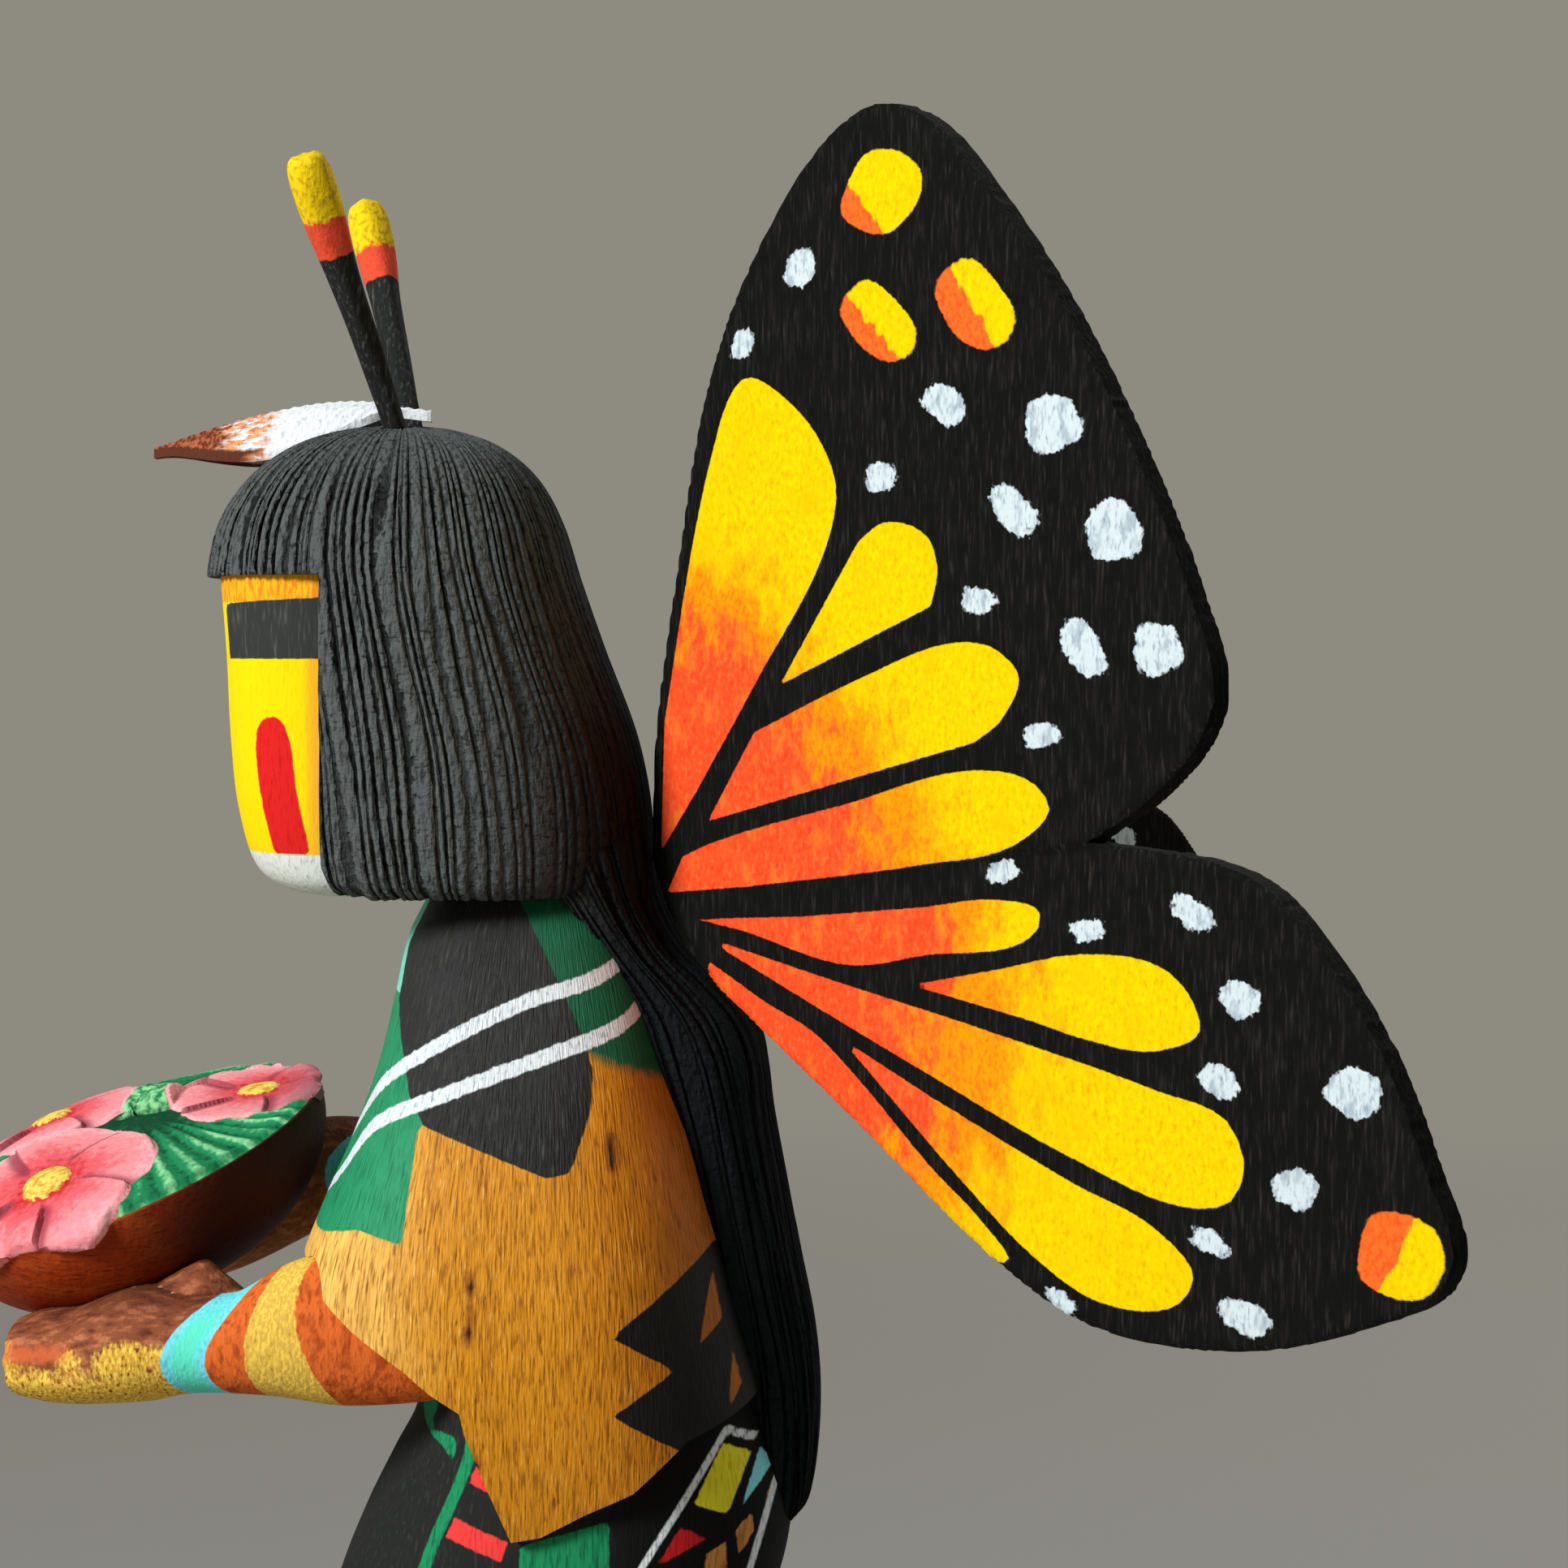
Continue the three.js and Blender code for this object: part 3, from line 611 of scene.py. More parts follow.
class Coats:
    """A material laid on in coats: a ground colour, then each coat through its mask."""

    def __init__(self, name, roughness, gloss, ground=None):
        self.material = bpy.data.materials.new(name)
        self.material.use_nodes = True
        self.tree = self.material.node_tree
        self.shader = self.tree.nodes["Principled BSDF"]
        self.shader.inputs["Roughness"].default_value = roughness
        self.shader.inputs["Specular IOR Level"].default_value = gloss
        self.place = self.node("ShaderNodeTexCoord").outputs["Object"]
        self.colour = ground

    def node(self, kind, feeds=None, **settings):
        """New node with its settings, its inputs fed by sockets or fixed values."""
        made = self.tree.nodes.new(kind)
        for key, value in settings.items():
            setattr(made, key, value)
        for key, feed in (feeds or {}).items():
            if isinstance(feed, bpy.types.NodeSocket):
                self.tree.links.new(feed, made.inputs[key])
            else:
                made.inputs[key].default_value = feed
        return made

    def mark(self, name):
        """A mark of the mesh."""
        return self.node("ShaderNodeAttribute", attribute_name=name).outputs["Fac"]

    def follow(self, across, along):
        """Lets all grain after this follow two marks in mm, across and along the surface."""
        ways = [self.math("MULTIPLY", self.mark(name), MM) for name in (across, along)]
        self.place = self.node("ShaderNodeCombineXYZ", {0: ways[0], 2: ways[1]}).outputs[0]

    def math(self, operation, *values):
        """Sum, product and the like of numbers."""
        return self.node("ShaderNodeMath", dict(enumerate(values)), operation=operation).outputs[0]

    def both(self, first, second):
        """Where two masks overlap: their product."""
        return self.math("MULTIPLY", first, second)

    def plus(self, value, other, share):
        """A value plus a share of another."""
        return self.math("MULTIPLY_ADD", other, share, value)

    def minus(self, value, other):
        """A value less another."""
        return self.math("SUBTRACT", value, other)

    def fade(self, value, start, end, low=0.0, high=1.0):
        """Swings from low to high while the value goes from start to end."""
        feeds = {"Value": value, "From Min": start, "From Max": end, "To Min": low, "To Max": high}
        return self.node("ShaderNodeMapRange", feeds, interpolation_type="SMOOTHSTEP").outputs[0]

    def speckle(self, size, stretch=(1, 1, 1), detail=3.0):
        """Noise from 0 to 1 with blots of about the size in mm, drawn out by the stretch along each axis."""
        scale = [1 / (MM * size * share) for share in stretch]
        scaled = self.node("ShaderNodeVectorMath", {0: self.place, 1: scale}, operation="MULTIPLY").outputs[0]
        return self.node("ShaderNodeTexNoise", {"Vector": scaled, "Scale": 1.0, "Detail": detail}).outputs[0]

    def inside(self, distance, ragged=0.15, soft=0.1, size=0.7):
        """Mask of the area where a distance in mm is below zero, with a brush's ragged edge."""
        if isinstance(distance, str):
            distance = self.mark(distance)
        rough = self.plus(distance, self.speckle(size), 2 * ragged)
        return self.fade(rough, ragged + soft, ragged - soft)

    def between(self, value, low, high, **edge):
        """Mask of the stretch where a value is between two bounds."""
        from_middle = self.math("ABSOLUTE", self.minus(value, (low + high) / 2))
        return self.inside(self.minus(from_middle, (high - low) / 2), **edge)

    def lay(self, under, over, mask):
        """One colour over another through a mask; a colour is three numbers or another coat's socket."""
        under, over = (c if isinstance(c, bpy.types.NodeSocket) else linear(c) for c in (under, over))
        return self.node("ShaderNodeMix", {0: mask, 6: under, 7: over}, data_type="RGBA").outputs[2]

    def coat(self, colour, mask=None):
        """Lays a colour over what is there, everywhere or through a mask."""
        self.colour = colour if mask is None else self.lay(self.colour, colour, mask)

    def blend(self, colours, value, stops):
        """Colour that goes through the given colours as the value passes the stops."""
        blended = colours[0]
        for colour, (start, end) in zip(colours[1:], stops):
            blended = self.lay(blended, colour, self.fade(value, start, end))
        return blended

    def mottle(self, colours, value, stops, mask=None):
        """Coat whose colour changes as a value passes the stops."""
        self.coat(self.blend(colours, value, stops), mask)

    def done(self, *bumps):
        """Feeds the last coat to the shader, and a bump for each height with its depth in mm."""
        self.tree.links.new(self.colour, self.shader.inputs["Base Color"])
        normal = None
        for height, depth in bumps:
            feeds = {"Height": height, "Distance": depth * MM}
            if normal is not None:
                feeds["Normal"] = normal
            normal = self.node("ShaderNodeBump", feeds).outputs[0]
        if normal is not None:
            self.tree.links.new(normal, self.shader.inputs["Normal"])
        return self.material


CHARCOAL = (60, 63, 62)
CHARCOAL_WORN = (96, 98, 96)
WING_BLACK = (16, 16, 15)
WING_BLACK_WORN = (50, 49, 46)
DRESS_BLACK = (34, 36, 35)
YELLOW = (241, 206, 0)
YELLOW_DARK = (226, 182, 0)
ORANGE = (252, 154, 8)
RED_ORANGE = (250, 82, 38)
WHITE = (228, 238, 243)
WHITE_THIN = (158, 174, 188)
GREEN = (14, 122, 80)
GREEN_DARK = (6, 92, 60)


def worn_coat(paint, colour, worn, mask=None):
    """Matt paint that wears a little along the wood's grain."""
    streak = paint.speckle(0.3, (1, 1, 8), 4.0)
    paint.mottle([colour, worn], streak, [(0.5, 0.85)], mask)
    return streak


def brushed_white(paint, mask, thick=WHITE):
    """White paint brushed thinly, blue-grey where the ground shows through."""
    brush = paint.speckle(0.36, (0.8, 0.8, 2.2), 4.0)
    paint.mottle([WHITE_THIN, thick], brush, [(0.28, 0.5)], mask)


def hair_paint():
    """Charcoal hair: crooked cuts darkened with painted shade between rough ridges, crumbs of bare fibre, and
    painted shade towards the back.
    """
    paint = Coats("hair_paint", 0.9, 0.05, (90, 95, 95))
    fibre = paint.speckle(0.36, (1, 1, 5), 3.0)
    crumb = paint.speckle(0.7, (1, 1, 1.5), 4.0)
    nick = paint.speckle(0.8, (1.6, 1.6, 0.6), 2.0)
    paint.coat((34, 35, 36), paint.fade(fibre, 0.48, 0.72, 0, 0.75))
    paint.coat((24, 24, 25), paint.fade(nick, 0.62, 0.72, 0, 0.7))
    paint.coat((126, 130, 128), paint.fade(crumb, 0.66, 0.78, 0, 0.5))
    # Painted shade: the back of the hair is darkened to a blue-black
    paint.coat((9, 15, 19), paint.fade(paint.mark("behind"), -8, 10, 0, 0.92))
    # Painted shade: near-black laid along each cut, darker where the cut is deeper; the same mask also dents
    # the bump
    crooked = paint.plus(paint.mark("strand"), crumb, 0.5)
    from_cut = paint.math("ABSOLUTE", paint.minus(paint.math("FRACT", crooked), 0.75))
    cut = paint.both(paint.fade(from_cut, 0.22, 0.08), paint.mark("deep"))
    paint.coat((8, 8, 9), cut)
    return paint.done((fibre, 0.16), (crumb, 0.4), (nick, -0.25), (cut, -0.3))


def mask_paint():
    """Yellow mask with a black eye band, orange brow, red cheeks and white chin."""
    paint = Coats("mask_paint", 0.85, 0.1, (250, 220, 2))
    grain = paint.speckle(0.3, (1, 1, 5), 4.0)
    paint.coat((236, 196, 0), paint.fade(grain, 0.5, 0.75, 0, 0.6))
    paint.coat((247, 172, 40), paint.fade(paint.mark("shade"), 0.5, -0.9, 0, 0.85))
    paint.mottle([(220, 34, 32), (192, 20, 24)], grain, [(0.5, 0.75)], paint.inside("cheek", 0.12, 0.1))
    paint.mottle([(226, 232, 226), (176, 184, 178)], grain, [(0.5, 0.75)], paint.inside("chin", 0.12, 0.1))
    paint.mottle([(246, 184, 30), (238, 138, 28)], grain, [(0.42, 0.6)], paint.inside("brow", 0.1, 0.1))
    worn_coat(paint, (52, 55, 53), CHARCOAL_WORN, paint.inside("band", 0.1, 0.08))
    return paint.done((grain, 0.07))


def cape_paint():
    """Stained wood, with painted light and shade that make it paler at the front and browner behind, short
    upright flecks, painted highlight flecks towards the front, and drying cracks; painted over the shoulders
    and along the back."""
    paint = Coats("cape_paint", 0.6, 0.25)
    paint.follow("round", "height")
    grain = paint.speckle(0.16, (1, 1, 17), 3.0)
    fleck = paint.speckle(0.21, (1, 1, 9), 3.0)
    streak = paint.speckle(1, (1, 1, 15), 3.0)
    behind = paint.plus(paint.mark("behind"), paint.speckle(5, (1, 1, 3)), 9.0)
    # Painted light and shade: the wood goes from pale at the front to brown behind
    paint.mottle([(255, 202, 100), (222, 146, 16), (190, 110, 0)], behind, [(-14, 0), (6, 22)])
    paint.coat((158, 92, 14), paint.fade(streak, 0.5, 0.75, 0, 0.5))
    paint.coat((136, 74, 4), paint.fade(grain, 0.44, 0.7, 0, 0.8))
    paint.coat((108, 56, 4), paint.fade(fleck, 0.44, 0.29, 0, 0.75))
    paint.coat((150, 90, 6), paint.fade(paint.mark("height"), 140, 116, 0, 0.35))
    # Painted highlights: pale flecks, strongest towards the front
    light = paint.both(paint.fade(fleck, 0.56, 0.74), paint.fade(behind, 12, -12, 0.25, 0.8))
    paint.coat((255, 210, 116), light)
    paint.coat((150, 84, 14), paint.inside(paint.minus(paint.mark("crack"), 0.3), 0.35, 0.4, 0.8))
    paint.coat((58, 28, 8), paint.inside("crack", 0.14, 0.16, 0.6))
    front_green = paint.inside("front_green", 0.12, 0.08)
    paint.mottle([GREEN, (38, 150, 102), (6, 100, 64)], grain, [(0.35, 0.55), (0.6, 0.8)], front_green)
    paint.mottle([GREEN_DARK, GREEN], grain, [(0.5, 0.85)], paint.inside("back_green", 0.5, 0.6, 1.2))
    necklace = paint.inside("necklace", 0.1, 0.1)
    paint.mottle([(120, 216, 192), (170, 236, 220)], grain, [(0.5, 0.75)], necklace)
    black = paint.lay(DRESS_BLACK, WING_BLACK, paint.fade(paint.mark("height"), 168, 160, 0, 0.7))
    worn_coat(paint, black, (74, 76, 74), paint.inside("patch", 0.12, 0.08))
    worn_coat(paint, (8, 8, 7), (26, 26, 24), paint.inside("teeth", 0.12, 0.08))
    brushed_white(paint, paint.inside("line", 0.25, 0.1, 0.6))
    return paint.done((grain, 0.16), (fleck, 0.12))


def arm_paint():
    """Red-brown arms with a yellow band and a turquoise bracelet, slanting round the arm; brown hands with
    the bowl's shadow painted darker on top, and rough yellow along their lower side, mostly left off the
    right hand as painted shade."""
    paint = Coats("arm_paint", 0.8, 0.15, (226, 108, 42))
    grain = paint.speckle(0.4, (1, 1, 3.5), 4.0)
    dots = paint.speckle(0.3, (1, 1, 2.2), 4.0)
    blot = paint.speckle(1.5, (1, 1, 1.6), 4.0)
    paint.coat((146, 54, 18), paint.fade(grain, 0.48, 0.75, 0, 0.8))
    paint.coat((164, 66, 24), paint.fade(blot, 0.5, 0.66, 0, 0.8))
    reach = paint.mark("reach")
    rise = paint.mark("rise")
    bow = paint.math("MULTIPLY", rise, rise)
    upright = paint.plus(paint.plus(reach, bow, 0.04), rise, -0.13)
    gentle = paint.plus(paint.plus(reach, bow, 0.05), rise, 0.24)
    slanted = paint.plus(paint.plus(reach, bow, 0.11), rise, 0.3)
    after = paint.inside(paint.minus(YELLOW_BAND[0], upright), 0.3)
    before = paint.inside(paint.minus(gentle, YELLOW_BAND[1]), 0.3)
    ochre = [(246, 206, 84), (220, 178, 74), (160, 116, 40)]
    paint.mottle(ochre, dots, [(0.4, 0.55), (0.62, 0.78)], paint.both(before, after))
    hand = paint.inside(paint.minus(HAND_START, slanted), 0.15)
    along = paint.speckle(0.8, (1, 2.4, 1), 4.0)
    paint.mottle([(184, 112, 74), (142, 78, 50), (98, 50, 34)], along, [(0.36, 0.5), (0.52, 0.7)], hand)
    # Painted shadow: the top of each hand is darkened where the bowl's shadow falls
    paint.coat((86, 40, 26), paint.both(hand, paint.fade(rise, 2.4, 5.5, 0, 0.75)))
    patchy = paint.plus(rise, paint.speckle(2.6, (1, 1.4, 1), 4.0), 11.0)
    below = paint.plus(paint.plus(patchy, reach, -0.06), dots, 2.4)
    # Painted shade: the rough yellow is mostly left off the right hand, so that it reads as shaded under the
    # bowl
    left_hand = paint.both(hand, paint.fade(paint.mark("left"), -2, 2, 0.1, 1))
    underside = paint.both(left_hand, paint.fade(below, 5.4, 3.2))
    yellows = [(255, 222, 96), (230, 176, 64), (106, 62, 22)]
    paint.mottle(yellows, dots, [(0.38, 0.52), (0.56, 0.7)], underside)
    nail = paint.between(rise, 0.4, 2, ragged=0.9, soft=0.6)
    paint.coat((214, 104, 58), paint.both(nail, paint.fade(reach, *NAIL_START, 0, 0.8)))
    bracelet = paint.between(slanted, *BRACELET, ragged=0.15)
    paint.mottle([(126, 228, 244), (92, 210, 226)], dots, [(0.45, 0.65)], bracelet)
    middle = paint.between(slanted, *BRACELET_MIDDLE, ragged=0.6, soft=0.5)
    paint.coat((94, 230, 202), paint.both(middle, paint.fade(rise, 5, 2)))
    return paint.done((grain, 0.1), (dots, 0.09))


def dress_paint():
    """Black dress with a green stripe and red dashes, a green panel, a bright sash and a worked hem."""
    paint = Coats("dress_paint", 0.85, 0.12)
    streak = worn_coat(paint, DRESS_BLACK, CHARCOAL)
    height = paint.mark("height")
    green = paint.blend([(30, 142, 92), (14, 104, 66)], streak, [(0.45, 0.7)])
    red = paint.blend([(240, 66, 62), (196, 40, 40)], streak, [(0.5, 0.75)])
    past = paint.mark("past_stripe")
    slide = paint.plus(paint.minus(height, DASH_START), past, 0.28)
    along = paint.math("PINGPONG", slide, DASH_STEP / 2)
    bars = paint.inside(paint.minus(along, DASH_HALF), 0.2)
    dashes = paint.both(bars, paint.between(past, *DASHES, ragged=0.2))
    paint.coat(red, paint.both(dashes, paint.fade(height, *DASH_END)))
    paint.coat(green, paint.between(past, *STRIPE_REACH, ragged=0.12))
    paint.coat(WING_BLACK, paint.fade(paint.mark("behind"), 3, 12, 0, 0.9))
    paint.coat(green, paint.inside("dress_green", 0.15))
    paint.coat(WING_BLACK, paint.inside("sash"))
    paint.mottle([(255, 248, 56), (240, 206, 30)], streak, [(0.45, 0.7)], paint.inside("sash_yellow"))
    paint.coat((150, 240, 252), paint.inside("sash_blue"))
    paint.coat((206, 34, 36), paint.inside("sash_red"))
    paint.mottle([(226, 158, 86), (186, 118, 56)], streak, [(0.45, 0.7)], paint.inside("sash_bars"))
    brushed_white(paint, paint.inside("sash_line", 0.08), (244, 250, 255))
    paint.coat(green, paint.between(height, *HEM_GREEN))
    paint.coat(red, paint.between(height, *HEM_RED))
    return paint.done((streak, 0.1))


def boot_paint():
    """White boots, rubbed at the grain."""
    paint = Coats("boot_paint", 0.8, 0.15, (222, 220, 210))
    grain = paint.speckle(0.35, (1, 1, 7), 4.0)
    paint.coat((196, 188, 168), paint.fade(grain, 0.52, 0.78, 0, 0.7))
    return paint.done((grain, 0.08))


def wing_paint():
    """Black wing with cells that go from red at the root through orange to yellow, white dabs and two-tone
    spots."""
    paint = Coats("wing_paint", 0.85, 0.06)
    streak = worn_coat(paint, WING_BLACK, WING_BLACK_WORN)
    sponge = paint.speckle(0.46, (1, 1, 1.5), 3.0)
    broad = paint.speckle(4.4, (1, 1, 1.4), 2.0)
    brush = paint.speckle(1.1, (1, 1, 1.8), 4.0)
    blush = paint.plus(paint.plus(paint.mark("blush"), brush, 1.4), broad, 2.2)
    paint.coat((44, 43, 40), paint.fade(paint.speckle(0.5, (1, 1, 9), 4.0), 0.5, 0.8, 0, 0.45))
    red = paint.blend([(253, 104, 54), RED_ORANGE, (238, 62, 32)], sponge, [(0.3, 0.5), (0.5, 0.75)])
    red = paint.lay(red, (252, 124, 40), paint.fade(paint.speckle(1.8, (1, 1, 1.6), 4.0), 0.52, 0.7, 0, 0.7))
    yellow = paint.blend([(246, 216, 0), YELLOW, YELLOW_DARK], sponge, [(0.35, 0.5), (0.5, 0.75)])
    yellow = paint.lay(yellow, (238, 194, 0), paint.fade(broad, 0.5, 0.72, 0, 0.55))
    orange = paint.blend([ORANGE, (250, 124, 16)], sponge, [(0.4, 0.7)])
    ember = paint.blend([(250, 112, 38), (240, 84, 34)], sponge, [(0.4, 0.7)])
    cell = paint.lay(paint.lay(red, orange, paint.fade(blush, 1.3, 2.1)), yellow, paint.fade(blush, 2.1, 3.3))
    paint.coat(cell, paint.inside("cell", 0.1, 0.07, 0.5))
    tone = paint.plus(paint.mark("spot_side"), brush, 1.6)
    spots = paint.inside("spot", 0.15, 0.08, 0.5)
    paint.coat(paint.lay(yellow, ember, paint.fade(tone, 0.65, 0.95)), spots)
    dabs = paint.inside(paint.math("ADD", paint.mark("white"), 0.1), 0.45, 0.1, 0.55)
    brushed_white(paint, dabs, (210, 225, 230))
    paint.coat((132, 150, 168), paint.both(dabs, paint.fade(brush, 0.5, 0.66, 0, 0.55)))
    return paint.done((streak, 0.1), (sponge, 0.05))


def antenna_paint():
    """Black stalk with a red collar and a yellow tip."""
    paint = Coats("antenna_paint", 0.85, 0.12)
    streak = worn_coat(paint, DRESS_BLACK, CHARCOAL_WORN)
    reach = paint.mark("reach")
    dots = paint.speckle(0.55)
    collar = paint.inside(paint.minus(ANTENNA_RED_START, reach), 0.5)
    paint.mottle([(242, 82, 56), (206, 84, 48)], dots, [(0.45, 0.7)], collar)
    tip = paint.inside(paint.minus(ANTENNA_YELLOW_START, reach), 0.8, 0.2, 1.1)
    paint.mottle([(250, 212, 20), (204, 170, 22)], dots, [(0.45, 0.68)], tip)
    return paint.done((streak, 0.08), (dots, 0.08))


def feather_paint():
    """White feather with orange flames and a rust-brown tip, with painted shade along the tip's edges."""
    paint = Coats("feather_paint", 0.85, 0.12, (236, 242, 246))
    barb = paint.speckle(0.4, (2, 1, 2), 3.0)
    reach = paint.plus(paint.mark("reach"), paint.speckle(0.9, (1, 4, 1)), 6.0)
    paint.coat((172, 184, 192), paint.fade(barb, 0.52, 0.75, 0, 0.7))
    wisp = paint.fade(paint.speckle(0.45, (1, 6, 1), 3.0), 0.4, 0.52)
    flames = paint.both(wisp, paint.fade(reach, *FLAMES_START))
    paint.mottle([(238, 166, 112), (218, 114, 62)], barb, [(0.45, 0.6)], flames)
    tip = paint.fade(reach, *FEATHER_TIP_START)
    paint.mottle([(180, 100, 66), (104, 50, 30)], barb, [(0.4, 0.6)], tip)
    # Painted shade: the edges of the tip are darkened to a deep brown
    edge = paint.both(paint.inside("feather_edge", 0.2, 0.15), paint.fade(reach, 18, 21))
    paint.coat((92, 50, 34), edge)
    return paint.done((barb, 0.14))


def bowl_paint():
    """Brown stained bowl, darkened towards the doll with painted shade, under pink flowers with yellow hearts
    and ribbed green leaves.
    """
    paint = Coats("bowl_paint", 0.7, 0.15, (160, 54, 4))
    grain = paint.speckle(0.34, (1, 6, 1), 4.0)
    broad = paint.speckle(2.6, (1, 2, 1), 3.0)
    stroke = paint.speckle(0.7, (1, 1, 1.6), 3.0)
    paint.coat((182, 84, 24), paint.fade(broad, 0.48, 0.75, 0, 0.6))
    paint.coat((92, 22, 0), paint.fade(grain, 0.48, 0.74, 0, 0.8))
    # Painted shade: the bowl's wood darkens to near black on the side towards the doll
    paint.coat((34, 4, 0), paint.fade(paint.mark("behind"), -2, 15, 0, 0.92))
    tint = paint.plus(paint.mark("rib"), stroke, 0.7)
    cover = paint.inside("cover", 0.15, 0.1)
    paint.mottle([(6, 70, 44), (28, 136, 86), (146, 226, 162)], tint, [(0.35, 0.75), (0.85, 1.25)], cover)
    bud = paint.both(cover, paint.inside("bud", 0.6, 0.4))
    paint.mottle([(34, 130, 80), (150, 226, 160)], stroke, [(0.36, 0.6)], bud)
    run = paint.plus(paint.plus(paint.mark("petal_run"), broad, 0.4), stroke, 0.5)
    pinks = [(206, 40, 46), (234, 98, 106), (248, 148, 156), (248, 182, 188)]
    petal = paint.inside("petal", 0.12, 0.08)
    paint.mottle(pinks, run, [(0.62, 0.87), (0.87, 1.17), (1.2, 1.5)], petal)
    # Painted shade: the petals darken to a dull purple towards the doll
    paint.coat((132, 62, 76), paint.both(petal, paint.fade(paint.mark("behind"), 12, 21, 0, 0.8)))
    paint.coat((146, 52, 70), paint.both(petal, paint.fade(paint.mark("petal_fold"), 0.25, 0.95, 0, 0.8)))
    heart = paint.inside("heart", 0.5, 0.12)
    paint.mottle([(246, 220, 104), (214, 164, 56)], stroke, [(0.45, 0.62)], heart)
    return paint.done((grain, 0.08), (stroke, 0.14))


def base_paint():
    """Bare sawn wood: broad and fine streaks along the board."""
    paint = Coats("base_wood", 0.65, 0.3, (196, 158, 108))
    broad = paint.speckle(1.6, (1, 14, 3), 3.0)
    grain = paint.speckle(0.3, (1, 16, 4), 4.0)
    paint.coat((172, 128, 78), paint.fade(broad, 0.45, 0.65, 0, 0.8))
    paint.coat((142, 98, 54), paint.fade(grain, 0.55, 0.75, 0, 0.6))
    return paint.done((grain, 0.08))


# The figure

def hair_bob(paint):
    """Bobbed hair: strands cut from the crown down, shallower behind, and a fringe that stands a little proud
    of the side hair."""
    rings = stack(BOB, 74, 540, *BOB_ROUND)
    y, z = np.moveaxis(rings, -1, 0)[1:]
    number = strand_number(rings[20], z, BOB_STRANDS)
    cut, deep, low = strands(number)
    fading = np.clip((227.6 - z) / 8, 0.08, 1) * (1 - 0.6 * smooth(y, -9, 5))
    proud = 0.4 * smooth(FRINGE_EDGE - z, -0.2, 0.3) * smooth(-y, 14, 15.5)
    sunk = sink(rings, STRAND_DEPTH * cut * fading + RIDGE_DEPTH * low + proud)
    piece = skin("carved_figure", sunk, paint, strand=number, deep=deep * fading)
    corner = HAIR_SIDE_EDGE + HAIR_CORNER
    opening = [
        (corner, 170), (corner, 181.2), (corner - 0.6 * HAIR_CORNER, 182.2), (HAIR_SIDE_EDGE, 184.6),
        (HAIR_SIDE_EDGE, FRINGE_EDGE), (-50, FRINGE_EDGE), (-50, 170),
    ]
    combine(piece, side_prism("opening", opening, 40, paint), "DIFFERENCE")
    return piece


def tress(paint):
    """Long hair down the back, cut in strands."""
    rings = stack(TRESS, 84, 230, *TRESS_ROUND)
    number = strand_number(rings[40], rings[..., 2], TRESS_STRANDS)
    cut, deep, low = strands(number)
    sunk = sink(rings, STRAND_DEPTH * cut + RIDGE_DEPTH * low)
    return skin("tress", sunk, paint, strand=number, deep=deep)


def cape(paint):
    """Cape cut off along its lower edge, with the slight unevenness of sanded work."""
    rings = stack(CAPE, 100, 150, *CAPE_ROUND)
    x, y, z = np.moveaxis(rings, -1, 0)
    uneven = 0.1 * np.sin(x / 3.1 + z / 5) * np.sin(y / 3.7 - z / 4)
    piece = skin("cape", sink(rings, uneven), paint)
    combine(piece, side_prism("cape_edge", CAPE_EDGE, 60, paint), "DIFFERENCE")
    return piece


def arm(name, rows, paint, bands=0):
    """Arm and hand along its path, with two shallow cuts that part the fingers along each side of the tip."""
    rings = limb(rows, 90, 48)
    path = rings.mean(axis=1)
    run = np.concatenate([[0], np.cumsum(np.linalg.norm(np.diff(path, axis=0), axis=1))])
    reach = np.broadcast_to(run[:, None], rings.shape[:2])
    rise = rings[..., 2] - path[:, None, 2]
    up = np.sin(turns(48))[None]
    fingers = np.exp(-((up - 0.42) / 0.1) ** 2) + np.exp(-((up + 0.1) / 0.1) ** 2)
    cut = 0.35 * fingers * smooth(reach, run[-1] - 11, run[-1] - 6)
    return skin(name, sink(rings, cut), paint, reach=reach + bands, rise=rise)


def thumb(name, rows, paint):
    """Thumb laid flat against the bowl; it takes the hand's paint."""
    rings = limb(rows, 30, 32)
    reach, rise = (np.full(rings.shape[:2], place) for place in THUMB_PAINT)
    return skin(name, rings, paint, reach=reach, rise=rise)


def laid_flat(points):
    """The body's surface laid flat: the way round from the middle of the front, by the angle about an
    upright axis, and the height."""
    angle = np.arctan2(np.abs(points[:, 0]), -1 - points[:, 1])
    return np.column_stack([angle * FLAT_RADIUS, points[:, 2]])


